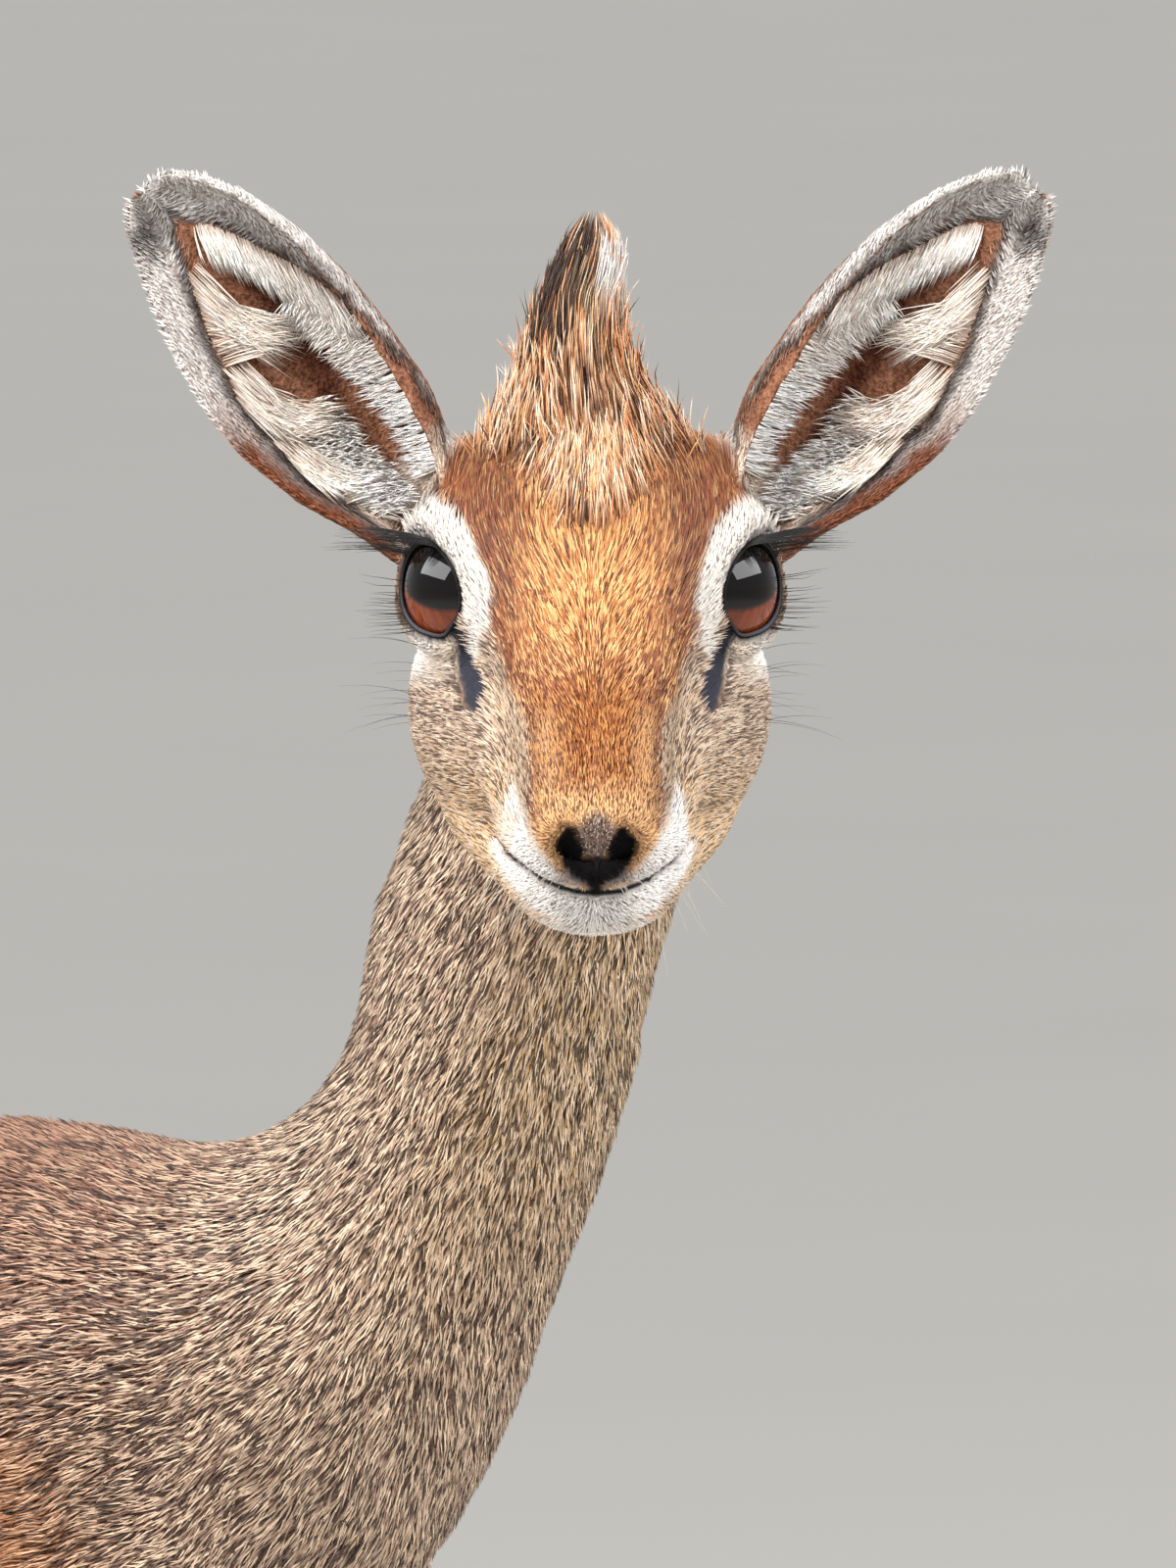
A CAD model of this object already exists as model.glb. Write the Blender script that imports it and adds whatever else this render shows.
# A standing female dik-dik, life-size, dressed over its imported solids.
# One skin stands for the flesh, and the coat is thin closed tufts that lie along it.

import math
import time

import bpy
import numpy as np
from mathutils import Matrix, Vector, kdtree
from mathutils.bvhtree import BVHTree


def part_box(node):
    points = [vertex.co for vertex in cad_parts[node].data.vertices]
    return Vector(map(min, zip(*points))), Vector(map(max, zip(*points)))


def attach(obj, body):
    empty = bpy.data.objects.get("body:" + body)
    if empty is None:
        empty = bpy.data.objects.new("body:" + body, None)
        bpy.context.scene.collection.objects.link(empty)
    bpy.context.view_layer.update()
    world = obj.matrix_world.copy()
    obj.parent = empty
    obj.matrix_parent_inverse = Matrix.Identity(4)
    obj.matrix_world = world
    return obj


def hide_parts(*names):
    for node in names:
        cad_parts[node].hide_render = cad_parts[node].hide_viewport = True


started = time.time()
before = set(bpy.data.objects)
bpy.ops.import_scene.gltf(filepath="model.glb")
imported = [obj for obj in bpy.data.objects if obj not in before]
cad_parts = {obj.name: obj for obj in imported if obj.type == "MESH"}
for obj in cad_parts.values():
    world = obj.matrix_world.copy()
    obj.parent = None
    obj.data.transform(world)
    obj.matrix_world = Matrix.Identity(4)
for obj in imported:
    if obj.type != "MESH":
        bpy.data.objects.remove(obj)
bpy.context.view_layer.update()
mm = 0.001


def say(words):
    print(f"[{time.time() - started:5.1f} s] {words}")


# Small helpers for arrays

def unit(vectors):
    return vectors / np.maximum(np.linalg.norm(vectors, axis=-1, keepdims=True), 1e-9)


def ramp(values, low, high):
    share = np.clip((values - low) / (high - low), 0, 1)
    return share * share * (3 - 2 * share)


def bump(values, centre, reach):
    return np.exp(-((values - centre) / reach) ** 2)


def blend(a, b, share):
    return a + (b - a) * share


def tint(base, colour, share):
    return base + (np.array(colour) - base) * share[:, None]


def latticeNoise(points, size, seed):
    # smooth noise from 0 to 1 with one value for each cell of a lattice
    spot = points / size + seed * 17.31
    cell = np.floor(spot).astype(np.int64)
    part = spot - cell
    part = part * part * (3 - 2 * part)
    total = np.zeros(len(points))
    for corner in range(8):
        step = np.array((corner & 1, corner >> 1 & 1, corner >> 2 & 1))
        place = cell + step
        mixed = place[:, 0] * 374761393 + place[:, 1] * 668265263 + place[:, 2] * 2147483647 + seed * 9176
        mixed = (mixed ^ (mixed >> 13)) * 1274126177
        value = ((mixed ^ (mixed >> 16)) & 65535) / 65535
        total += value * np.prod(np.where(step == 1, part, 1 - part), axis=1)
    return total


# Where things are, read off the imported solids

headTurn = {"azimuth": -61.0, "pitch": 23.0}


def headAxes():
    turn, pitch = math.radians(headTurn["azimuth"]), math.radians(headTurn["pitch"])
    level = np.array((math.sin(turn), -math.cos(turn), 0.0))
    left = np.array((math.cos(turn), math.sin(turn), 0.0))
    top = np.array((0.0, 0.0, 1.0))
    forward = level * math.cos(pitch) - top * math.sin(pitch)
    return left, forward, level * math.sin(pitch) + top * math.cos(pitch)


def nodePoints(name):
    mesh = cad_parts[name].data
    found = np.empty(len(mesh.vertices) * 3)
    mesh.vertices.foreach_get("co", found)
    return found.reshape(-1, 3)


def middle(points):
    return (points.min(axis=0) + points.max(axis=0)) / 2


headLeft, headForward, headUp = headAxes()
headMatrix = np.array((headLeft, headForward, headUp))
eyeCentres = {1: middle(nodePoints("eye_left")), -1: middle(nodePoints("eye_right"))}
eyeMiddle = (eyeCentres[1] + eyeCentres[-1]) / 2
bodyStart = eyeMiddle - np.array((-50.0, -210.0, 487.0)) * mm


def inHead(points):
    # x to its left, f forward and h up from between the eyes, in mm
    return ((points - eyeMiddle) / mm) @ headMatrix.T


def fromHead(places):
    return np.asarray(places, float) @ headMatrix * mm + eyeMiddle


def headWay(x, f, h):
    return unit(np.array((x, f, h), float) @ headMatrix)


def inBody(points):
    return (points - bodyStart) / mm


# Camera, floor and light

camera = {"azimuth": -62.0, "elevation": 5.0, "distance": 3.0, "eyePixel": (603, 600), "pixelsPerMm": 5.9}
studio = {
    "floor": (0.50, 0.49, 0.47), "floorReach": 40.0, "air": (0.90, 0.92, 0.95), "airStrength": 0.55,
    "sun": 1.65, "sunAngle": math.radians(22), "sunColour": (1.0, 0.95, 0.88), "softboxDistance": 1.3,
    # name, to the right of and above the camera's line, width and height in metres, watts
    "softboxes": (("top_softbox", -0.1, 1.6, 1.1, 0.7, 5.0), ("left_softbox", -2.6, 1.6, 1.5, 0.6, 28.0),
                  ("right_softbox", 2.6, 1.6, 1.5, 0.6, 24.0)),
}


def setCamera():
    turn, rise = math.radians(camera["azimuth"]), math.radians(camera["elevation"])
    back = Vector((math.sin(turn) * math.cos(rise), -math.cos(turn) * math.cos(rise), math.sin(rise)))
    right = Vector((math.cos(turn), math.sin(turn), 0.0))
    top = back.cross(right)
    scale = camera["pixelsPerMm"] / mm
    aim = Vector(eyeMiddle) - right * (camera["eyePixel"][0] - 600) / scale
    aim += top * (camera["eyePixel"][1] - 800) / scale
    data = bpy.data.cameras.new("camera")
    data.sensor_width = 36
    data.lens = 36 * camera["distance"] / (1600 / scale)
    data.clip_start, data.clip_end = 0.01, 100
    made = bpy.data.objects.new("camera", data)
    bpy.context.scene.collection.objects.link(made)
    made.location = aim + back * camera["distance"]
    made.rotation_mode = "QUATERNION"
    made.rotation_quaternion = back.to_track_quat("Z", "Y")
    bpy.context.scene.camera = made
    return back, right, top


viewBack, viewRight, viewTop = setCamera()


# Materials: a socket that reads like a number, and a tree that makes any other node

class Wire:
    def __init__(self, paint, socket):
        self.paint, self.socket = paint, socket

    def sum(self, operation, first, second):
        return self.paint.add("ShaderNodeMath", {"operation": operation}, {0: first, 1: second})

    def __add__(self, other):
        return self.sum("ADD", self, other)

    def __sub__(self, other):
        return self.sum("SUBTRACT", self, other)

    def __rsub__(self, other):
        return self.sum("SUBTRACT", other, self)

    def __mul__(self, other):
        return self.sum("MULTIPLY", self, other)

    def __truediv__(self, other):
        return self.sum("DIVIDE", self, other)

    def __pow__(self, other):
        return self.sum("POWER", self, other)

    __radd__ = __add__
    __rmul__ = __mul__


class Paint:
    def __init__(self, name):
        self.material = bpy.data.materials.new(name)
        self.material.use_nodes = True
        self.tree = self.material.node_tree
        self.shader = self.tree.nodes["Principled BSDF"]

    def add(self, kind, settings=None, sockets=None, out=0):
        node = self.tree.nodes.new(kind)
        for key, value in (settings or {}).items():
            if key == "stops":
                while len(node.color_ramp.elements) < len(value):
                    node.color_ramp.elements.new(0.5)
                for element, (place, colour) in zip(node.color_ramp.elements, value):
                    element.position, element.color = place, (*colour, 1)
            else:
                setattr(node, key, value)
        for key, value in (sockets or {}).items():
            if isinstance(value, Wire):
                self.tree.links.new(value.socket, node.inputs[key])
            else:
                node.inputs[key].default_value = value
        return Wire(self, node.outputs[out])

    def mixed(self, a, b, share, way="MIX"):
        a, b = [v if isinstance(v, Wire) else (*v, 1) for v in (a, b)]
        settings = {"data_type": "RGBA", "blend_type": way}
        return self.add("ShaderNodeMix", settings, {0: share, 6: a, 7: b}, out=2)

    def between(self, value, low, high):
        sockets = {"Value": value, "From Min": low, "From Max": high}
        return self.add("ShaderNodeMapRange", {"clamp": True}, sockets)

    def noise(self, size, detail=2.0, spot=None, out=0):
        sockets = {"Vector": spot or self.spot(), "Scale": 1 / size, "Detail": detail}
        return self.add("ShaderNodeTexNoise", {}, sockets, out)

    def spot(self):
        return self.add("ShaderNodeTexCoord", {}, {}, out=3)

    def turned(self, scale, rotation=(0, 0, 0)):
        sockets = {"Vector": self.spot(), "Scale": scale, "Rotation": rotation}
        return self.add("ShaderNodeMapping", {}, sockets)

    def kept(self, name, out=0):
        return self.add("ShaderNodeAttribute", {"attribute_name": name}, {}, out)

    def finish(self, colour, roughness, height=None, depth=0.0, **fixed):
        for name, value in (("Base Color", colour), ("Roughness", roughness)):
            if isinstance(value, Wire):
                self.tree.links.new(value.socket, self.shader.inputs[name])
            else:
                self.shader.inputs[name].default_value = value
        if height is not None:
            normal = self.add("ShaderNodeBump", {}, {"Strength": 1.0, "Distance": depth, "Height": height})
            self.tree.links.new(normal.socket, self.shader.inputs["Normal"])
        for name, value in fixed.items():
            self.shader.inputs[name.replace("_", " ")].default_value = value
        return self.material


def floorFinish():
    paint = Paint("pale_floor")
    mottle = paint.noise(0.35, 3.0)
    colour = paint.mixed(studio["floor"], [v * 1.05 for v in studio["floor"]], mottle)
    return paint.finish(colour, 0.85)


def skinFinish():
    # the coat's own colour between the tufts, with fine grizzle, and damp bare skin where it is bald
    paint = Paint("skin_and_undercoat")
    coat, bald = paint.kept("coat"), paint.kept("bald", 2)
    fine = paint.noise(0.0007, 3.0)
    coarse = paint.noise(0.0022, 2.0)
    grain = paint.between(fine * 0.6 + coarse * 0.4, 0.36, 0.62)
    darker = paint.mixed(coat, (0.30, 0.25, 0.22), 1.0, "MULTIPLY")
    furred = paint.mixed(darker, coat, grain)
    colour = paint.mixed(furred, coat, bald)
    roughness = 0.85 - bald * 0.45
    pores = paint.noise(0.0004, 2.0)
    height = grain * (1 - bald) + pores * bald * 0.5
    return paint.finish(colour, roughness, height, 0.0005, Specular_IOR_Level=0.05)


def tuftFinish(name):
    # each tuft carries its colour, darker at its root; a little noise breaks it up
    paint = Paint(name)
    coat = paint.kept("coat")
    strand = paint.noise(0.0005, 2.0)
    colour = paint.mixed(coat, (0.72, 0.70, 0.68), paint.between(strand, 0.55, 0.30) * 0.5, "MULTIPLY")
    return paint.finish(colour, 0.62, Specular_IOR_Level=0.30)


def hairFinish(name, colour, roughness=0.45):
    paint = Paint(name)
    streak = paint.noise(0.0006, 2.0)
    shade = paint.mixed(colour, [v * 0.5 for v in colour], streak)
    return paint.finish(shade, roughness, Specular_IOR_Level=0.4)


def eyeFinish():
    # the eye's own colour comes from how far a point is from the pupil's middle
    paint = Paint("wet_dark_eye")
    gaze = paint.kept("gaze", 1)
    parts = paint.add("ShaderNodeSeparateXYZ", {}, {0: gaze})
    wide, tall = parts, Wire(paint, parts.socket.node.outputs[1])
    reach = (wide * wide + tall * tall) ** 0.5
    pupil = ((wide / 8.6) ** 2 + (tall / 3.9) ** 2) ** 0.5
    turn = paint.add("ShaderNodeMath", {"operation": "ARCTAN2"}, {0: tall, 1: wide})
    rays = paint.add("ShaderNodeCombineXYZ", {}, {0: turn * 6.0, 1: reach * 0.25, 2: 0.0})
    streak = paint.noise(1.0, 3.0, rays)
    low = paint.between(tall, 3.0, -6.0)
    glow = paint.between(streak, 0.30, 0.70) * 0.6 + low * 0.4
    iris = paint.mixed((0.035, 0.007, 0.003), (0.21, 0.036, 0.007), glow)
    seen = paint.between(pupil, 0.94, 1.16) * paint.between(tall, 1.0, -1.6)
    iris = paint.mixed((0.003, 0.002, 0.002), iris, seen)
    edge = paint.between(reach, 8.2, 9.4)
    colour = paint.mixed(iris, (0.010, 0.007, 0.007), edge)
    return paint.finish(colour, 0.02, Specular_IOR_Level=0.32)


def lidFinish():
    paint = Paint("wet_lid_rim")
    pale = paint.kept("pale", 2)
    grain = paint.noise(0.0006, 2.0)
    dark = paint.mixed((0.006, 0.005, 0.005), (0.016, 0.013, 0.014), grain)
    colour = paint.mixed(dark, (0.13, 0.13, 0.15), pale * 0.45)
    return paint.finish(colour, 0.5, grain, 0.0002, Specular_IOR_Level=0.12)


def hornFinish():
    paint = Paint("hoof_horn")
    rings = paint.noise(0.004, 2.0, paint.turned((0.15, 0.15, 1.0)))
    scratch = paint.noise(0.0009, 3.0, paint.turned((1.0, 1.0, 0.2)))
    worn = paint.between(rings * 0.6 + scratch * 0.4, 0.35, 0.65)
    colour = paint.mixed((0.016, 0.013, 0.012), (0.075, 0.058, 0.046), worn)
    return paint.finish(colour, 0.38 + scratch * 0.2, rings * 0.7 + scratch * 0.3, 0.0006)


def placeLamp(light, way, distance):
    # a lamp that shines back along way, from so far out from the eyes
    lamp = bpy.data.objects.new(light.name, light)
    lamp.location = Vector(eyeMiddle) + way * distance
    lamp.rotation_mode = "QUATERNION"
    lamp.rotation_quaternion = way.to_track_quat("Z", "Y")
    bpy.context.scene.collection.objects.link(lamp)


def setStudio():
    scene = bpy.context.scene
    scene.view_settings.view_transform = "Standard"
    scene.view_settings.look = "None"
    world = bpy.data.worlds.new("air")
    scene.world = world
    world.use_nodes = True
    air = world.node_tree.nodes["Background"].inputs
    air["Color"].default_value, air["Strength"].default_value = (*studio["air"], 1), studio["airStrength"]
    mesh = bpy.data.meshes.new("floor")
    reach = studio["floorReach"]
    square = [(-reach, -reach, 0), (reach, -reach, 0), (reach, reach, 0), (-reach, reach, 0)]
    mesh.from_pydata(square, [], [(0, 1, 2, 3)])
    floor = bpy.data.objects.new("floor", mesh)
    scene.collection.objects.link(floor)
    mesh.materials.append(floorFinish())
    # a broad soft sun from above the camera's shoulder, and softboxes that show in the eyes
    sun = bpy.data.lights.new("soft_sun", "SUN")
    sun.energy, sun.angle, sun.color = studio["sun"], studio["sunAngle"], studio["sunColour"]
    placeLamp(sun, viewBack * 0.75 + viewTop - viewRight * 0.45, 0)
    for name, across, rise, width, height, watts in studio["softboxes"]:
        box = bpy.data.lights.new(name, "AREA")
        box.shape, box.size, box.size_y, box.energy = "RECTANGLE", width, height, watts
        way = viewBack + viewTop * rise + viewRight * across
        placeLamp(box, way.normalized(), studio["softboxDistance"])


setStudio()
say("camera, floor and light")


# Skin: every node of flesh swollen until they meet, fused in one, then given its lids, lips and folds

skinSizes = {"voxel": 1.05 * mm, "swell": 0.26 * mm, "weld": 0.02 * mm, "triangles": 152000, "smoothing": 6}
fleshNodes = ["head", "neck", "torso", "tail", "ear_left", "ear_right",
              "foreleg_left", "foreleg_right", "hindleg_left", "hindleg_right"]
crownBalls = (((0, -17.0, 2.0), (23.0, 21.0, 18.6)), ((0, -19.0, 12.0), (13.0, 11.0, 15.0)))
eyeSizes = {
    # in mm, with the inner corner's turn, and how far the lids lie out and the hidden skin lies in
    "radius": 11.5, "axis": (0.804, 0.525, 0.279), "gaze": (0.71, 0.574, 0.407), "halfLength": 8.9,
    "halfHeight": 7.6, "corner": math.radians(-38), "point": 0.07, "lid": 12.4, "behind": 8.2,
    "opening": 12.0, "widest": 11.6,
}


def linked(name, mesh):
    made = bpy.data.objects.new(name, mesh)
    bpy.context.scene.collection.objects.link(made)
    return made


def meshFrom(name, points, corners):
    # a mesh of triangles from arrays of points and of corner numbers
    mesh = bpy.data.meshes.new(name)
    mesh.vertices.add(len(points))
    mesh.vertices.foreach_set("co", np.asarray(points, np.float32).ravel())
    mesh.loops.add(corners.size)
    mesh.loops.foreach_set("vertex_index", np.asarray(corners, np.int32).ravel())
    mesh.polygons.add(len(corners))
    mesh.polygons.foreach_set("loop_start", np.arange(0, corners.size, 3, dtype=np.int32))
    mesh.update()
    return mesh


def ballMesh(name, centre, radii, axes=np.eye(3), around=40, rings=24):
    points, corners = [(0, 0, 1)], []
    for ring in range(1, rings):
        tilt = math.pi * ring / rings
        for k in range(around):
            turn = 2 * math.pi * k / around
            points.append((math.sin(tilt) * math.cos(turn), math.sin(tilt) * math.sin(turn), math.cos(tilt)))
    points.append((0, 0, -1))
    for k in range(around):
        corners.append((0, 1 + k, 1 + (k + 1) % around))
        last = 1 + (rings - 2) * around
        corners.append((len(points) - 1, last + (k + 1) % around, last + k))
    for ring in range(rings - 2):
        for k in range(around):
            a, b = 1 + ring * around + k, 1 + ring * around + (k + 1) % around
            corners += [(a, a + around, b), (b, a + around, b + around)]
    points = np.array(points) * np.array(radii) * mm
    return meshFrom(name, points @ np.asarray(axes) + centre, np.array(corners))


def pointsOf(mesh):
    found = np.empty(len(mesh.vertices) * 3, np.float32)
    mesh.vertices.foreach_get("co", found)
    return found.reshape(-1, 3).astype(float)


def cornersOf(mesh):
    mesh.calc_loop_triangles()
    found = np.empty(len(mesh.loop_triangles) * 3, np.int32)
    mesh.loop_triangles.foreach_get("vertices", found)
    return found.reshape(-1, 3)


def pointNormals(points, corners):
    a, b, c = points[corners[:, 0]], points[corners[:, 1]], points[corners[:, 2]]
    face = np.cross(b - a, c - a)
    found = np.zeros_like(points)
    for k in range(3):
        for axis in range(3):
            found[:, axis] += np.bincount(corners[:, k], face[:, axis], len(points))
    return unit(found)


def neighbours(corners):
    pairs = np.concatenate((corners[:, (0, 1)], corners[:, (1, 2)], corners[:, (2, 0)]))
    pairs = np.unique(np.sort(pairs, axis=1), axis=0)
    return np.concatenate((pairs, pairs[:, ::-1]))


def averaged(values, pairs, count):
    total = np.zeros_like(values)
    held = np.maximum(np.bincount(pairs[:, 0], minlength=count), 1)
    if values.ndim == 1:
        return np.bincount(pairs[:, 0], values[pairs[:, 1]], count) / held
    for axis in range(values.shape[1]):
        total[:, axis] = np.bincount(pairs[:, 0], values[pairs[:, 1], axis], count) / held
    return total


def plainMesh(made):
    # the object's shape with its modifiers, as a mesh of its own
    bpy.context.view_layer.update()
    evaluated = made.evaluated_get(bpy.context.evaluated_depsgraph_get())
    mesh = bpy.data.meshes.new_from_object(evaluated)
    bpy.data.objects.remove(made, do_unlink=True)
    return mesh


def fleshCopy(name):
    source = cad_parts[name].data.copy()
    made = linked("copy_" + name, source)
    weld = made.modifiers.new("weld", "WELD")
    weld.merge_threshold = skinSizes["weld"]
    merged = plainMesh(made)
    points, corners = pointsOf(merged), cornersOf(merged)
    if name == "head":
        # the crest's locks are drawn down into the crown, where finer ones stand later
        x, f, h = inHead(points).T
        shown = 0.883 * h - 0.469 * f
        lock = (shown > 31.5) & (np.abs(x) < 17) & (f < -4) | (h > 25.5) & (np.abs(x) < 12)
        places = np.stack((x * 0.3, f * 0 - 18, h * 0 + 8), axis=1)
        points = np.where(lock[:, None], fromHead(places), points)
        points = points + pointNormals(points, corners) * skinSizes["swell"] * (~lock)[:, None]
    else:
        points = points + pointNormals(points, corners) * skinSizes["swell"]
    return points, corners


def fusedFlesh():
    pieces = [fleshCopy(name) for name in fleshNodes]
    for side in (-1, 1):
        ball = ballMesh("ball", eyeCentres[side], (eyeSizes["radius"] + 0.1,) * 3)
        pieces.append((pointsOf(ball), cornersOf(ball)))
    for place, radii in crownBalls:
        crown = ballMesh("crown", fromHead(place), radii, headMatrix)
        pieces.append((pointsOf(crown), cornersOf(crown)))
    points, corners, start = [], [], 0
    for somePoints, someCorners in pieces:
        points.append(somePoints)
        corners.append(someCorners + start)
        start += len(somePoints)
    made = linked("flesh", meshFrom("flesh", np.concatenate(points), np.concatenate(corners)))
    fuse = made.modifiers.new("fuse", "REMESH")
    fuse.mode, fuse.voxel_size, fuse.adaptivity = "VOXEL", skinSizes["voxel"], 0.0
    return plainMesh(made)


def largestShell(points, corners):
    # hollows that the fusing closes off are shells of their own, and only the largest is the skin
    pairs = neighbours(corners)
    label = np.arange(len(points))
    while True:
        low = label.copy()
        np.minimum.at(low, pairs[:, 0], label[pairs[:, 1]])
        low = low[low]
        if np.array_equal(low, label):
            break
        label = low
    keep = label == np.bincount(label).argmax()
    number = np.cumsum(keep) - 1
    return points[keep], number[corners[keep[corners[:, 0]]]]


def nodeShares(points):
    # which group of nodes each point of the skin is nearest to, as a share of 1 in that column
    groups = [["head"], ["neck"], ["torso"], ["tail"], ["ear_right"], ["ear_left"],
              ["foreleg_left", "foreleg_right"], ["hindleg_left", "hindleg_right"]]
    places, labels = [], []
    for number, group in enumerate(groups):
        for name in group:
            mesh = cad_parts[name].data
            spots, corners = pointsOf(mesh), cornersOf(mesh)
            spots = np.concatenate((spots, spots[corners].mean(axis=1)))
            places.append(spots)
            labels += [number] * len(spots)
    places = np.concatenate(places)
    tree = kdtree.KDTree(len(places))
    for number, place in enumerate(places):
        tree.insert(place, number)
    tree.balance()
    nearest = np.array([labels[tree.find(point)[1]] for point in points])
    return np.eye(len(groups))[nearest]


def eyeFrame(side):
    out = headWay(side * eyeSizes["axis"][0], eyeSizes["axis"][1], eyeSizes["axis"][2])
    inner = unit(headForward - out * np.dot(headForward, out))
    upper = np.cross(out, inner)
    upper = upper if np.dot(upper, headUp) > 0 else -upper
    return out, inner, upper


def openingReach(turn):
    # how far the lids' edge is from the middle of the opening, in mm, at each turn round it
    off = (turn - eyeSizes["corner"] + math.pi) % (2 * math.pi) - math.pi
    point = 1 + eyeSizes["point"] * np.exp(-(off / 0.26) ** 2)
    c, s = np.cos(turn) / eyeSizes["halfLength"], np.sin(turn) / eyeSizes["halfHeight"]
    return point / np.sqrt(c * c + s * s)


def eyePlace(points, side):
    # reach from the eyeball's middle, turn round the opening, and share of the way to the lids' edge
    out, inner, upper = eyeFrame(side)
    off = (points - eyeCentres[side]) / mm
    depth, across, rise = off @ out, off @ inner, off @ upper
    reach = np.linalg.norm(off, axis=1)
    scale = eyeSizes["opening"] / np.maximum(reach, 1e-6)
    turn = np.arctan2(rise, across)
    flat = np.hypot(across, rise) * scale
    edge = np.minimum(openingReach(turn), eyeSizes["widest"])
    return reach, turn, np.where(depth > 0, flat / edge, 9.0), edge


def fromEye(side, turn, share, reach):
    out, inner, upper = eyeFrame(side)
    flat = np.minimum(openingReach(turn), eyeSizes["widest"]) * share / eyeSizes["opening"]
    depth = np.sqrt(np.maximum(1 - flat * flat, 0))
    way = inner * (np.cos(turn) * flat)[:, None] + upper * (np.sin(turn) * flat)[:, None]
    way = way + out * depth[:, None]
    return eyeCentres[side] + way * (reach * mm)[:, None]


def openLids(points):
    for side in (-1, 1):
        reach, turn, share, edge = eyePlace(points, side)
        near = reach < 16.5
        # a thin ring of points is drawn onto the lids' edge, so that the edge runs smooth
        ring = near & (np.abs(share - 1) * edge < 0.62)
        share = np.where(ring, 1.0, share)
        hidden = near & (share < 0.995)
        moved = fromEye(side, turn, share, np.where(hidden, eyeSizes["behind"], eyeSizes["lid"]))
        points = np.where((ring | hidden)[:, None], moved, points)
        # skin beside the opening that is too deep is lifted to the lids' reach
        lift = near & ~ring & (share > 1) & (share < 1.5) & (reach < eyeSizes["lid"])
        lifted = eyeCentres[side] + unit(points - eyeCentres[side]) * eyeSizes["lid"] * mm
        points = np.where(lift[:, None], lifted, points)
    return points


def thinned(points, corners, wanted):
    # fewer triangles on the body, where the coat is longest, and all of them kept on the head
    made = linked("dense", meshFrom("dense", points, corners))
    coarse = 1 - nearHead(points) * 0.92
    group = made.vertex_groups.new(name="coarse")
    for share in range(8):
        chosen = np.nonzero((coarse * 8).astype(int).clip(0, 7) == share)[0]
        group.add(chosen.tolist(), (share + 0.5) / 8, "REPLACE")
    thin = made.modifiers.new("thin", "DECIMATE")
    thin.ratio, thin.vertex_group, thin.vertex_group_factor = wanted / len(corners), "coarse", 6.0
    mesh = plainMesh(made)
    return pointsOf(mesh), cornersOf(mesh)


def nearHead(points):
    x, f, h = inHead(points).T
    headBall = 1 - ramp(np.sqrt(x ** 2 + (f - 12) ** 2 + (h + 8) ** 2), 62, 84)
    ears = 1 - ramp(np.sqrt((np.abs(x) - 52) ** 2 + (f + 25) ** 2 + (h - 38) ** 2), 40, 56)
    return np.maximum(headBall, ears)


def makeSkinShape():
    mesh = fusedFlesh()
    points, corners = largestShell(pointsOf(mesh), cornersOf(mesh))
    say(f"fused skin, {len(corners)} triangles")
    pairs = neighbours(corners)
    for turn in range(skinSizes["smoothing"]):
        moved = averaged(points, pairs, len(points))
        points = blend(points, moved, 0.62)
        back = averaged(points, pairs, len(points))
        points = blend(points, back, -0.45)
    points, corners = thinned(points, corners, skinSizes["triangles"])
    points, corners = largestShell(points, corners)
    say(f"thinned skin, {len(corners)} triangles")
    return points, corners


skinPoints, skinCorners = makeSkinShape()
skinPoints = openLids(skinPoints)
say("lids opened")


# Markings: one set of rules for the skin and for every tuft on it, in mm across and up the face

palette = {
    "cheek": (0.34, 0.225, 0.155), "lowCheek": (0.78, 0.47, 0.21), "rufous": (0.225, 0.066, 0.026),
    "forehead": (0.46, 0.175, 0.055), "bridge": (0.30, 0.092, 0.022), "noseTip": (0.66, 0.375, 0.185),
    "white": (0.84, 0.80, 0.765), "brow": (0.70, 0.645, 0.59), "cream": (0.72, 0.57, 0.43),
    "black": (0.008, 0.007, 0.008),
    "gland": (0.034, 0.035, 0.048), "crease": (0.25, 0.085, 0.045), "septum": (0.21, 0.145, 0.12),
    "lip": (0.40, 0.35, 0.335), "crown": (0.46, 0.19, 0.08), "nape": (0.42, 0.28, 0.21),
    "neck": (0.51, 0.34, 0.245), "throat": (0.68, 0.45, 0.23), "back": (0.28, 0.135, 0.092),
    "flank": (0.18, 0.088, 0.052), "lowFlank": (0.55, 0.225, 0.088), "belly": (0.74, 0.68, 0.58),
    "leg": (0.47, 0.29, 0.155), "shin": (0.40, 0.25, 0.145), "pastern": (0.22, 0.14, 0.09),
    "earBack": (0.40, 0.15, 0.055), "earSkin": (0.36, 0.13, 0.06), "earGroove": (0.13, 0.045, 0.026),
    "earBand": (0.20, 0.185, 0.175), "earTan": (0.86, 0.70, 0.575), "darkTick": (0.050, 0.032, 0.028),
    "creamTick": (0.78, 0.62, 0.47), "neckTick": (0.84, 0.64, 0.46), "backTick": (0.47, 0.26, 0.165),
    "bridgeTick": (0.52, 0.245, 0.078), "crownDark": (0.15, 0.066, 0.042), "stripe": (0.72, 0.47, 0.28),
    "orangeTick": (0.80, 0.44, 0.18), "brownTick": (0.12, 0.038, 0.020), "flankTick": (0.66, 0.30, 0.13),
    "crestPale": (0.66, 0.52, 0.34),
}
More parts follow.
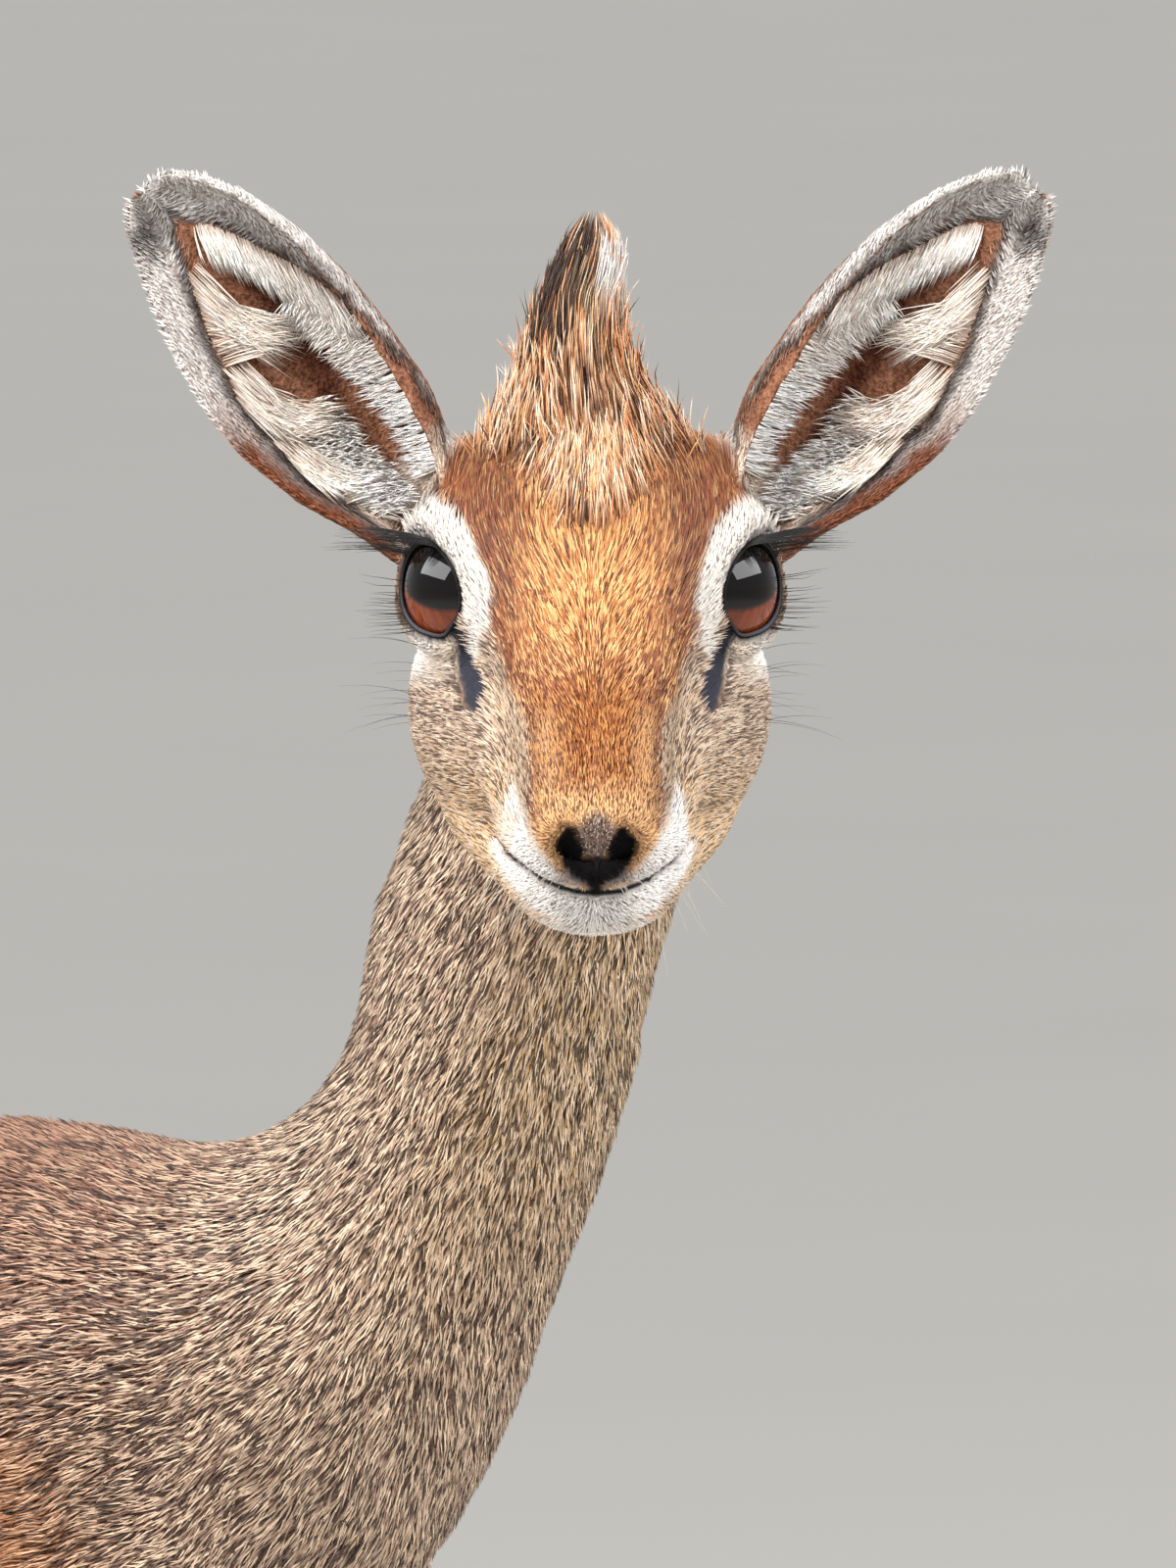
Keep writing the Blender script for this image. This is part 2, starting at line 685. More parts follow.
lines = {
    # points across and up the face with the mark's half width there
    "gland": ((23.2, -7.5, 1.0), (21.6, -12.0, 1.5), (20.4, -16.5, 2.5), (19.9, -19.5, 2.2),
              (19.4, -22.0, 0.7)),
    "whiteLip": ((13.8, -35.2, 0.8), (13.8, -39.0, 1.9), (13.2, -42.8, 2.4), (10.9, -46.6, 2.3),
                 (7.4, -49.8, 1.4)),
    "chin": ((16.6, -44.2, 0.9), (13.6, -48.4, 1.8), (8.8, -53.0, 2.6), (0.0, -55.8, 3.2)),
    "mouth": ((16.6, -43.4, 0.3), (13.4, -46.6, 0.5), (8.8, -50.2, 0.55), (4.0, -52.1, 0.6),
              (0.0, -52.5, 0.7)),
    "nostril": ((4.4, -42.4, 1.4), (4.7, -44.2, 2.3), (4.1, -46.3, 2.4), (2.6, -48.4, 1.9), (1.0, -50.3, 1.1),
                (0.1, -51.8, 0.5)),
    "crease": ((12.3, -18.0, 0.5), (11.0, -22.0, 0.8), (10.6, -30.0, 0.8), (10.8, -37.0, 0.9),
               (9.8, -42.0, 0.5)),
    "paleSide": ((16.0, -19.0, 1.5), (13.6, -24.0, 2.0), (12.9, -31.0, 1.6), (13.2, -36.0, 1.4)),
}
crescent = {
    "turns": (-60, -51, -41, -24, -8, 25, 48, 68, 78, 93, 106, 118, 128),
    "inner": (15.0, 10.6, 7.3, 5.6, 4.8, 4.3, 4.6, 5.2, 5.8, 7.0, 7.6, 8.8, 10.0),
    "outer": (15.6, 14.6, 13.2, 11.7, 10.5, 9.4, 10.8, 12.2, 13.4, 14.8, 14.8, 13.2, 11.0),
}


def stroke(across, up, line, soft=0.5):
    # 1 within a line's half width, falling softly to 0 outside it
    best = np.full(len(across), 1e9)
    for (ax, ay, aw), (bx, by, bw) in zip(line, line[1:]):
        dx, dy = bx - ax, by - ay
        share = np.clip(((across - ax) * dx + (up - ay) * dy) / (dx * dx + dy * dy), 0, 1)
        gap = np.hypot(across - ax - dx * share, up - ay - dy * share) - blend(aw, bw, share)
        best = np.minimum(best, gap)
    return 1 - ramp(best, -soft, soft)


def patch(across, up, middleX, middleY, reachX, reachY, soft=0.35):
    gap = np.hypot((across - middleX) / reachX, (up - middleY) / reachY)
    return 1 - ramp(gap, 1 - soft, 1 + soft)


def onFace(points):
    x, f, h = inHead(points).T
    return x, 0.883 * h - 0.469 * f, f, h


earSizes = {
    "root": (30.5, -17.0, 12.6), "length": 69.0,
    "share": (-0.17, -0.10, -0.03, 0.06, 0.21, 0.40, 0.58, 0.75, 0.88, 0.96, 1.0),
    "outer": (-9.5, -11.0, -11.8, -13.6, -17.0, -17.8, -15.6, -11.6, -7.4, -4.2, -1.6),
    "inner": (-5.5, -0.5, 6.5, 11.5, 14.5, 16.5, 16.5, 14.2, 10.2, 5.8, 2.2),
}


def earWays(side):
    raised, facing = headWay(0, -0.469, 0.883), headWay(0, 0.883, 0.469)
    length = unit(headLeft * side * 0.685 + raised * 0.728)
    inner = unit(headLeft * -side * 0.728 + raised * 0.685)
    return length, inner, unit(facing + headLeft * side * 0.12)


def onEar(points, side):
    # share of the ear's length, share of its width from the low rim to the high one, and, in mm, height
    # out of the cup and place across it
    length, inner, opening = earWays(side)
    root = np.array(earSizes["root"]) * (side, 1, 1)
    off = (points - fromHead(root)) / mm
    share = off @ length / earSizes["length"]
    low = np.interp(share, earSizes["share"], earSizes["outer"])
    high = np.interp(share, earSizes["share"], earSizes["inner"])
    return share, (off @ inner - low) / np.maximum(high - low, 1.0), off @ opening, off @ inner


def headMarks(points):
    x, up, f, h = onFace(points)
    side = np.abs(x)
    wobble = (latticeNoise(points, 1.6 * mm, 3) - 0.5) * 1.5 + (latticeNoise(points, 5 * mm, 4) - 0.5) * 1.6
    side = side + wobble * 0.6
    high = up + wobble * 0.5
    colour = np.tile(palette["cheek"], (len(points), 1))
    colour = tint(colour, palette["lowCheek"], ramp(-high, 22, 44) * ramp(side, 9, 15) * 0.85)
    colour = tint(colour, palette["neck"], ramp(-f, 2, 30) * ramp(-high, -8, 12))
    # the orange mask of forehead, crown and bridge
    edge = np.interp(high, (-26, -20, -8, 0, 5, 10, 15, 20), (10.8, 13.6, 16.6, 17.0, 19.5, 22.5, 29.0, 40.0))
    orange = 1 - ramp(side - edge, -1.2, 1.2)
    colour = tint(colour, palette["rufous"], orange)
    mid = orange * (1 - ramp(side, 7, 17)) * ramp(high, -22, -6)
    colour = tint(colour, palette["forehead"], mid)
    colour = tint(colour, palette["crown"], ramp(high, 14, 26) * orange)
    colour = tint(colour, palette["crownDark"], ramp(high, 8, 20) * (1 - ramp(side, 7, 13)) * 0.6)
    bridge = (1 - ramp(side, 10.0, 11.6)) * (1 - ramp(high, -20, -13))
    colour = tint(colour, palette["bridge"], bridge)
    tip = np.maximum(ramp(-high, 31, 40), 0.75 * bump(side, 9.0, 3.0) * ramp(-high, 18, 26))
    colour = tint(colour, palette["noseTip"], bridge * tip)
    colour = tint(colour, palette["crease"], patch(side, high, 8.5, -17.0, 4.2, 3.0, 0.7) * 0.55)
    colour = tint(colour, palette["stripe"], stroke(side, high, lines["paleSide"], 1.2) * 0.8)
    fold = stroke(side, high, lines["crease"], 0.7) * 0.75 * ramp(f, 20, 30)
    colour = tint(colour, palette["crease"], fold)
    parting = bump(x, 1.0, 0.55) * ramp(-up, 5, 8) * (1 - ramp(-up, 19, 22))
    colour = tint(colour, palette["crease"], parting * 0.5)
    colour = tint(colour, palette["lip"], patch(side, high, 4.4, -50.2, 3.6, 1.6, 0.4) * ramp(f, 40, 48))
    septum = patch(x, high, 0.0, -43.0, 3.3, 4.0, 0.3) * ramp(f, 50, 56)
    colour = tint(colour, palette["septum"], septum)
    # white lips and chin, white crescent above each eye and a pale patch under it
    front = ramp(f, 28, 36)
    upper, lower = stroke(side, high, lines["whiteLip"], 0.9), stroke(side, high, lines["chin"], 1.0)
    lips = np.maximum(upper, lower) * front
    lips = np.maximum(lips, ramp(-up, 54, 58) * ramp(f, 10, 24) * (1 - ramp(side, 11, 18)) * 0.9)
    colour = tint(colour, palette["white"], lips)
    mottle = ramp(latticeNoise(points, 3.2 * mm, 14), 0.5, 0.75)
    colour = tint(colour, palette["noseTip"], lips * 0.45 * mottle * ramp(high, -50, -44))
    ex, ev = side - 27.5, high + 0.3
    reach, turn = np.hypot(ex, ev), np.degrees(np.arctan2(ev, -ex))
    inner = np.interp(turn, crescent["turns"], crescent["inner"])
    outer = np.interp(turn, crescent["turns"], crescent["outer"])
    white = ramp(reach, inner - 0.5, inner + 0.5) * (1 - ramp(reach, outer - 0.7, outer + 0.7))
    white *= ramp(turn, -62, -55) * (1 - ramp(turn, 120, 132)) * ramp(f, -14, -8)
    colour = tint(colour, palette["brow"], white)
    pale = patch(side, high, 29.8, -11.8, 5.6, 4.0, 0.8) * ramp(f, -14, -8)
    colour = tint(colour, palette["white"], pale)
    colour = tint(colour, palette["cream"], patch(side, high, 25.5, -13.0, 3.0, 4.0, 0.6) * 0.55)
    gland = stroke(side, high, lines["gland"], 0.6)
    colour = tint(colour, palette["gland"], gland)
    bald = gland * 0.75
    for eyeSide in (-1, 1):
        gap, turn = lidGap(points, eyeSide)
        # black lid rims, broadest above the outer corner, where the lashes stand
        width = 0.75 + 1.0 * bump(np.degrees(turn), 150, 34)
        rim = 1 - ramp(gap, width - 0.5, width + 0.5)
        colour = tint(colour, palette["black"], rim)
        bald = np.maximum(bald, 1 - ramp(gap, 0.4, 1.0))
    dark = np.maximum(stroke(side, up, lines["nostril"], 0.5), stroke(side, up, lines["mouth"], 0.4)) * front
    colour = tint(colour, palette["black"], dark)
    wedge = patch(x, high, 0.0, -48.9, 2.5, 2.9, 0.25) * ramp(f, 48, 52)
    dark = np.maximum(dark, wedge)
    colour = tint(colour, palette["black"], wedge)
    near = ramp(f, 50, 56) * patch(side, high, 3.6, -46.5, 5.4, 7.0, 0.25)
    plain = np.clip(white + pale * 0.9 + lips, 0, 1)
    orange = orange * (1 - plain) * (1 - septum)
    bridge, plain = bridge * (1 - septum), np.maximum(plain, septum * 0.6)
    return colour, np.maximum(bald, dark), orange, bridge, plain, near


def lidGap(points, side):
    # how far outside the lids' edge a point is, in mm, and its turn round the eye
    reach, turn, share, edge = eyePlace(points, side)
    gap = np.where(reach < 19, (share - 1) * edge + 1.2 * np.maximum(0, reach - 13.1), 99.0)
    return gap, turn


def earMarks(points, normals, side, colour, share):
    along, across, out, flat = onEar(points, side)
    opening = earWays(side)[2]
    wobble = (latticeNoise(points, 2.2 * mm, 6) - 0.5) * 0.06
    across, along = across + wobble, along + wobble * 0.6
    cup = ramp(normals @ opening + 0.9 * (across > 1.02) - 0.1, -0.15, 0.2)
    rim = np.minimum(across, 1 - across)
    made = np.tile(palette["earBack"], (len(points), 1))
    made = tint(made, palette["white"], 0.55 * (1 - ramp(across, 0.0, 0.3)) * ramp(along, 0.2, 0.5))
    inside = np.tile(palette["earTan"], (len(points), 1))
    inside = tint(inside, palette["earSkin"], ramp(along, 0.0, 0.08) * 0.9)
    groove = np.interp(along, (0.0, 0.08, 0.35, 0.62, 0.8), (0.30, 0.36, 0.55, 0.60, 0.62))
    inside = tint(inside, palette["earGroove"], bump(across, groove, 0.10) * (1 - ramp(along, 0.62, 0.78)))
    lowLine = np.interp(along, (0.1, 0.31, 0.455, 0.65, 0.85, 0.90), (0.10, 0.14, 0.14, 0.21, 0.33, 0.5))
    highLine = np.interp(along, (0.0, 0.25, 0.48, 0.61, 0.81, 0.90), (0.97, 0.93, 0.86, 0.81, 0.68, 0.5))
    band = np.maximum(ramp(lowLine - across, -0.02, 0.05), ramp(across - highLine, -0.02, 0.05))
    band = np.maximum(band, ramp(along, 0.86, 0.91))
    inside = tint(inside, palette["white"], band * 0.9)
    grey = band * ramp(across, 0.42, 0.6) * ramp(along, 0.35, 0.5) + band * ramp(along, 0.82, 0.88)
    fade = 0.5 + 0.5 * (1 - ramp(across - highLine, 0.0, 0.16))
    inside = tint(inside, palette["earBand"], np.clip(grey, 0, 1) * 0.85 * ramp(rim, 0.03, 0.09) * fade)
    lowEdge = (across < 0.3) * (1 - ramp(along, 0.30, 0.52)) * (1 - ramp(across, 0.0, 0.14))
    inside = tint(inside, palette["rufous"], band * lowEdge)
    # the black line between band and cup, and the black parts of the rim
    dark = np.maximum(bump(across, lowLine - 0.02, 0.045), bump(across, highLine, 0.030))
    dark = dark * (1 - ramp(along, 0.88, 0.93))
    dark = np.maximum(dark, bump(along, 0.885, 0.014) * (across > lowLine) * (across < highLine))
    inner = ramp(0.52 - along, 0.0, 0.1) * ramp(along, 0.12, 0.2)
    dark = np.maximum(dark, 0.9 * ramp(across, 0.93, 0.99) * inner)
    dark = np.maximum(dark, 0.9 * bump(along, 0.90, 0.05) * (1 - ramp(across, 0.16, 0.3)))
    inside = tint(inside, palette["black"], dark * 0.85)
    made = blend(made, inside, cup[:, None])
    top = (1 - ramp(1 - across, 0.02, 0.08)) * ramp(along, 0.5, 0.62)
    top = top + ramp(along, 0.955, 0.985) * (across > 0.35)
    made = tint(made, palette["white"], np.clip(top, 0, 1))
    cavity = ramp(across - lowLine, 0.03, 0.09) * ramp(highLine - across, 0.02, 0.07)
    cavity = cavity * ramp(along, 0.02, 0.06) * (1 - ramp(along, 0.85, 0.88))
    return colour + (made - colour) * share[:, None], cup * share, cavity * cup * share


def bodyMarks(points, shares):
    x, y, z = inBody(points).T
    drift = (latticeNoise(points, 14 * mm, 8) - 0.5) * 14
    high = z + drift
    colour = np.tile(palette["neck"], (len(points), 1))
    nape = ramp(y - (-0.42 * (z - 336) - 117), -12, 14)
    colour = tint(colour, palette["nape"], nape)
    front = ramp(-(y + 0.49 * (z - 336) + 138), -8, 14) * ramp(z, 330, 400)
    colour = tint(colour, palette["throat"], front * 0.8)
    torso = shares[:, 2] + shares[:, 3] + shares[:, 6] + shares[:, 7]
    made = tint(np.tile(palette["flank"], (len(points), 1)), palette["back"], ramp(high, 338, 372))
    low = ramp(-(high - 0.10 * (y + 100)), -338, -306) * ramp(y, -125, -80)
    made = tint(made, palette["lowFlank"], low)
    limb = shares[:, 6] + shares[:, 7]
    outer = ramp(limb, 0.15, 0.5) * ramp(np.abs(x), 14, 30)
    belly = ramp(-high, -274, -250) * ramp(y, -125, -90) * (1 - ramp(y, 165, 215)) * (1 - outer)
    made = tint(made, palette["belly"], belly)
    colour = colour + (made - colour) * (torso * ramp(y, -150, -95))[:, None]
    legs = np.tile(palette["leg"], (len(points), 1))
    legs = tint(legs, palette["shin"], ramp(-z, -150, -60))
    within = ramp(-np.abs(x), -34, -24) * ramp(-z, -265, -240)
    legs = tint(legs, palette["belly"], within * 0.7)
    legs = tint(legs, palette["pastern"], ramp(-z, -26, -14))
    colour = colour + (legs - colour) * (limb * ramp(-z, -290, -225))[:, None]
    under = shares[:, 3] * ramp(-y, -236, -228)
    return tint(colour, palette["belly"], np.clip(under, 0, 1)), low, torso


def coatMarks(points, normals, shares):
    # the coat's colour, how bald the skin is, and the masks that its hairs are picked by
    body, low, torso = bodyMarks(points, shares)
    head, bald, orange, bridge, white, nose = headMarks(points)
    share = ramp(shares[:, 0] + shares[:, 4] + shares[:, 5], 0.15, 0.85)
    colour = body + (head - body) * share[:, None]
    cup, cavity = np.zeros(len(points)), np.zeros(len(points))
    for side, column in ((-1, 4), (1, 5)):
        colour, some, inner = earMarks(points, normals, side, colour, ramp(shares[:, column], 0.25, 0.75))
        cup, cavity = cup + some, cavity + inner
    masks = {"orange": orange * share, "bridge": bridge * share, "white": white * share, "nose": nose * share,
             "head": share, "cup": cup, "cavity": cavity, "low": low, "torso": torso,
             "ear": shares[:, 4] + shares[:, 5]}
    return colour, bald * share, masks


# The skin's finer shape: more triangles where the face needs them, then lips, nostrils, creases and folds

coatDepth = {"head": 0.9, "neck": 1.7, "torso": 2.5, "tail": 2.2, "ear": 0.55, "foreleg": 0.9, "hindleg": 1.0}


def splitFaces(points, corners, chosen):
    # every edge of a chosen triangle is halved, and its neighbours are split to fit
    edges = np.sort(corners[:, ((0, 1), (1, 2), (2, 0))].reshape(-1, 2), axis=1)
    kinds, number = np.unique(edges[:, 0].astype(np.int64) * len(points) + edges[:, 1], return_inverse=True)
    number = number.reshape(-1, 3)
    halved = np.zeros(len(kinds), bool)
    halved[number[chosen].ravel()] = True
    place = np.cumsum(halved) - 1 + len(points)
    a, b = (kinds // len(points))[halved], (kinds % len(points))[halved]
    middles = (points[a] + points[b]) / 2
    found = []
    cut = halved[number]
    count = cut.sum(axis=1)
    found.append(corners[count == 0])
    for turn in range(3):
        i, j, k = turn, (turn + 1) % 3, (turn + 2) % 3
        one = (count == 1) & cut[:, i]
        m = place[number[one, i]]
        p = corners[one]
        found += [np.stack((p[:, i], m, p[:, k]), 1), np.stack((m, p[:, j], p[:, k]), 1)]
        two = (count == 2) & ~cut[:, k]
        p, m, n = corners[two], place[number[two, i]], place[number[two, j]]
        for three in ((m, p[:, j], n), (p[:, i], m, n), (p[:, i], n, p[:, k])):
            found.append(np.stack(three, 1))
    p, m = corners[count == 3], place[number[count == 3]]
    for k in range(3):
        found.append(np.stack((p[:, k], m[:, k], m[:, (k + 2) % 3]), 1))
    found.append(m)
    return np.concatenate((points, middles)), np.concatenate(found)


def smoothed(points, pairs, amount, turns):
    for turn in range(turns):
        points = points + (averaged(points, pairs, len(points)) - points) * amount[:, None]
    return points


def faceFold(points):
    # how far each point moves out along its normal, in mm
    x, up, f, h = onFace(points)
    side = np.abs(x)
    front = ramp(f, 28, 38)
    move = -2.6 * stroke(side, up, lines["nostril"], 0.7) * ramp(f, 52, 58)
    wing = patch(side, up, 5.2, -42.0, 4.6, 4.6, 0.35) - stroke(side, up, lines["nostril"], 1.0)
    move += 0.5 * np.maximum(0, wing) * ramp(f, 50, 58)
    mouth = [(ax, ay, 0.15) for ax, ay, aw in lines["mouth"]]
    move -= 1.0 * stroke(side, up, mouth, 0.9) * front
    move += 0.45 * stroke(side, up, [(ax, ay + 1.9, 0.5) for ax, ay, aw in mouth], 1.2) * front
    move += 0.55 * stroke(side, up, [(ax, ay - 2.0, 0.6) for ax, ay, aw in mouth], 1.3) * front
    move -= 0.75 * stroke(side, up, [(ax, ay, 0.3) for ax, ay, aw in lines["crease"]], 1.3) * ramp(f, 12, 22)
    gland = [(ax, ay, aw * 0.4) for ax, ay, aw in lines["gland"]]
    move -= 0.9 * stroke(side, up, gland, 1.2) * ramp(f, -5, 3)
    move -= 0.35 * bump(x, 0.6, 1.0) * ramp(-up, 6, 10) * (1 - ramp(-up, 20, 26)) * front
    for eyeSide in (-1, 1):
        gap, turn = lidGap(points, eyeSide)
        above = bump(np.degrees(turn), 95, 62)
        below = bump(np.degrees(turn), -75, 50)
        move += 0.45 * bump(gap, 1.3, 1.0) * (0.5 + above) * (gap > 0)
        move -= 0.55 * bump(gap, 3.4, 0.9) * above
        move += 0.30 * bump(gap, 2.2, 0.8) * below - 0.30 * bump(gap, 3.6, 0.8) * below
    return move


def softShares(points, pairs):
    # the shares cross over softly at the joins
    shares = nodeShares(points)
    for turn in range(14):
        shares = averaged(shares, pairs, len(points))
    return shares


def finishSkin(points, corners):
    x, up, f, h = onFace(points)
    pairs = neighbours(corners)
    # the crown is smoothed where the crest's solid locks stood
    crown = ramp(up, 15, 21) * (1 - ramp(np.abs(x), 20, 27)) * ramp(-f, -4, 2) * (1 - ramp(-f, 44, 52))
    points = smoothed(points, pairs, crown * 0.9, 60)
    shares = softShares(points, pairs)
    # where the neck meets the trunk the solids' facets are worn away
    join = np.minimum(shares[:, 1], shares[:, 2]) * 2
    for turn in range(50):
        join = np.maximum(join * 0.985, averaged(join, pairs, len(points)))
    points = smoothed(points, pairs, np.clip(join * 1.6, 0, 0.85), 90)
    trunk = np.clip(shares[:, 1] + shares[:, 2] + shares[:, 6] * 0.5 + shares[:, 7] * 0.5, 0, 1)
    points = smoothed(points, pairs, trunk * 0.5 * (1 - ramp(-inBody(points)[:, 2], -250, -200)), 8)
    ears = shares[:, 4] + shares[:, 5]
    points = smoothed(points, pairs, ramp(ears, 0.3, 0.9) * 0.35, 6)
    rim = np.zeros(len(points))
    for side in (-1, 1):
        rim = np.maximum(rim, 1 - ramp(lidGap(points, side)[0], 2.5, 6.5))
    columns = ("head", "neck", "torso", "tail", "ear", "ear", "foreleg", "hindleg")
    depth = shares @ np.array([coatDepth[k] for k in columns])
    x, up, f, h = onFace(points)
    bare = np.maximum(rim, shares[:, 0] * ramp(f, 40, 54) * 0.75)
    depth = depth * (1 - bare) * (1 - 0.75 * ramp(-inBody(points)[:, 2], -34, -18))
    points = points - pointNormals(points, corners) * (depth * mm)[:, None]
    fine = (f[corners].mean(axis=1) > 34) & (up[corners].mean(axis=1) > -62)
    for side in (-1, 1):
        gap = lidGap(points, side)[0][corners].mean(axis=1)
        fine |= (gap > -0.5) & (gap < 5.0)
    points, corners = splitFaces(points, corners, fine)
    pairs = neighbours(corners)
    x, up, f, h = onFace(points)
    points = smoothed(points, pairs, ramp(f, 34, 40) * 0.5, 2)
    points = openLids(points)
    normals = pointNormals(points, corners)
    points = points + normals * (faceFold(points) * mm)[:, None]
    return points, corners


skinPoints, skinCorners = finishSkin(skinPoints, skinCorners)
skinNormals = pointNormals(skinPoints, skinCorners)
skinShares = softShares(skinPoints, neighbours(skinCorners))
say(f"skin shaped, {len(skinCorners)} triangles")


def addColours(mesh, colours):
    kept = mesh.color_attributes.new("coat", "FLOAT_COLOR", "POINT")
    values = np.ones((len(colours), 4), np.float32)
    values[:, :3] = np.clip(colours, 0, 1)
    kept.data.foreach_set("color", values.ravel())


def addNumbers(mesh, name, values):
    kept = mesh.attributes.new(name, "FLOAT", "POINT")
    kept.data.foreach_set("value", np.asarray(values, np.float32))


def shadeSmooth(mesh):
    mesh.polygons.foreach_set("use_smooth", np.ones(len(mesh.polygons), bool))


def makeSkin():
    mesh = meshFrom("skin", skinPoints, skinCorners)
    colour, bald = coatMarks(skinPoints, skinNormals, skinShares)[:2]
    addColours(mesh, colour)
    addNumbers(mesh, "bald", bald)
    shadeSmooth(mesh)
    skin = linked("skin", mesh)
    mesh.materials.append(skinFinish())
    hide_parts(*fleshNodes)
    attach(skin, "root")


makeSkin()
say("skin coloured")


# Eyes, with wet rims on the lids

def makeEye(side, name):
    centre = eyeCentres[side]
    gaze = headWay(side * eyeSizes["gaze"][0], eyeSizes["gaze"][1], eyeSizes["gaze"][2])
    level = unit(np.cross(gaze, headUp)) * side
    rise = unit(np.cross(level, gaze))
    rise = rise if np.dot(rise, headUp) > 0 else -rise
    radius = eyeSizes["radius"]
    mesh = ballMesh(name, centre, (radius,) * 3, np.array((level, np.cross(gaze, level), gaze)), 72, 48)
    points = pointsOf(mesh)
    off = (points - centre) / mm
    reach = np.degrees(np.arccos(np.clip(unit(off) @ gaze, -1, 1)))
    # the clear front bulges a little in front of the iris
    off = off * (1 + 0.022 * (1 - ramp(reach, 5, 42)))[:, None]
    points = centre + off * mm
    mesh.vertices.foreach_set("co", points.astype(np.float32).ravel())
    kept = mesh.attributes.new("gaze", "FLOAT_VECTOR", "POINT")
    bend = np.where(off @ gaze > 0, 1.0, 3.0)
    spots = np.stack((off @ level, off @ rise, off @ gaze), axis=1) * np.stack((bend, bend, bend), axis=1)
    kept.data.foreach_set("vector", spots.astype(np.float32).ravel())
    shadeSmooth(mesh)
    eye = linked(name + "_wet", mesh)
    mesh.materials.append(eyeFinish())
    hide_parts(name)
    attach(eye, "root")


def tubeAlong(path, widths, heights, ways, around=8):
    # a closed ring of a tube through the points of a path, wide along ways
    count = len(path)
    ahead = unit(np.roll(path, -1, axis=0) - np.roll(path, 1, axis=0))
    across = unit(ways - ahead * np.sum(ways * ahead, axis=1, keepdims=True))
    rise = np.cross(ahead, across)
    turns = np.arange(around) / around * 2 * math.pi
    points = (path[:, None] + across[:, None] * (np.cos(turns)[None, :, None] * widths[:, None, None])
              + rise[:, None] * (np.sin(turns)[None, :, None] * heights[:, None, None]))
    a = np.arange(count)[:, None] * around + np.arange(around)[None, :]
    b = np.arange(count)[:, None] * around + (np.arange(around)[None, :] + 1) % around
    c, d = (a + around) % (count * around), (b + around) % (count * around)
    corners = np.concatenate((np.stack((a, b, d), -1).reshape(-1, 3), np.stack((a, d, c), -1).reshape(-1, 3)))
    return points.reshape(-1, 3), corners


def facedOut(points, corners):
    # the corners turned round if the closed mesh is inside out
    a, b, c = points[corners[:, 0]], points[corners[:, 1]], points[corners[:, 2]]
    return corners if np.sum(a * np.cross(b, c)) > 0 else corners[:, ::-1]


def makeLidRim(side, name):
    turns = np.arange(72) / 72 * 2 * math.pi
    degrees = (np.degrees(turns) + 180) % 360 - 180
    ones = np.ones(72)
    path = fromEye(side, turns, ones * 0.975, ones * 12.05)
    ways = fromEye(side, turns, ones * 1.2, ones * 12.0) - path
    below = bump(degrees, -80, 55)
    points, corners = tubeAlong(path, (0.30 + 0.12 * below) * mm, (0.28 + 0.06 * below) * mm, ways)
    mesh = meshFrom(name, points, facedOut(points - points.mean(axis=0), corners))
    addNumbers(mesh, "pale", np.repeat(below, 8))
    shadeSmooth(mesh)
    rim = linked(name, mesh)
    mesh.materials.append(lidFinish())
    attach(rim, "root")


for side, name in ((1, "eye_left"), (-1, "eye_right")):
    makeEye(side, name)
    makeLidRim(side, "lid_rim_" + name[4:])
say("eyes and lid rims")


# The coat: closed tufts of four points, a sunk root, two raised shoulders and a tip

tuftPieces = {
    # seed, and how many tufts, or at most how many on neck and body
    "head_left": (11, 41000), "head_right": (12, 41000), "ear_left": (13, 16000), "ear_right": (14, 16000),
    "neck_left": (15, 49000), "neck_right": (16, 49000),
    "body_front_left": (17, 49000), "body_front_right": (18, 49000),
    "body_rear_left": (19, 30000), "body_rear_right": (20, 30000),
    "forelegs": (21, 15000), "hindlegs": (22, 16000),
}


def neckMiddle(z):
    # across and along the body, in mm, at a height
    return np.interp(z, (336, 494), (0, -24)), np.interp(z, (336, 494), (-117, -194))


def pieceChance(name, points, shares):
    # how densely a piece's tufts stand at each point of the skin
    x, y, z = inBody(points).T
    head, ear, neck = shares[:, 0], shares[:, 4] + shares[:, 5], shares[:, 1]
    limb = shares[:, 6] + shares[:, 7]
    hx, up, f, h = onFace(points)
    # tufts to each square mm of neck and body
    thick = np.interp(y, (-125, -60, 10, 60), (2.3, 1.35, 0.75, 0.62))
    if name.startswith("head"):
        side = hx > -0.5 if name.endswith("left") else hx < 0.5
        front = 0.55 + 0.45 * ramp(f, -22, 0) + 0.5 * (1 - ramp(up, -45, -30)) * ramp(f, 30, 40)
        return (head > 0.5) * side * front
    if name.startswith("ear"):
        return (shares[:, 5] if name.endswith("left") else shares[:, 4]) > 0.5
    if name.startswith("neck"):
        off = x - neckMiddle(z)[0]
        return thick * (neck > 0.5) * (off > 0 if name.endswith("left") else off <= 0)
    if name.startswith("body"):
        torso = (neck <= 0.5) & (head <= 0.5) & (ear <= 0.5) & (limb * ramp(-z, -255, -235) <= 0.5)
        side = x > 0 if name.endswith("left") else x <= 0
        return thick * torso * side * (y < 10 if "front" in name else y >= 10)
    low = ramp(-z, -255, -235) > 0.5
    wanted = shares[:, 6] if name == "forelegs" else shares[:, 7]
    return (wanted * low > 0.5) * (0.6 + 0.4 * ramp(z, 20, 60))


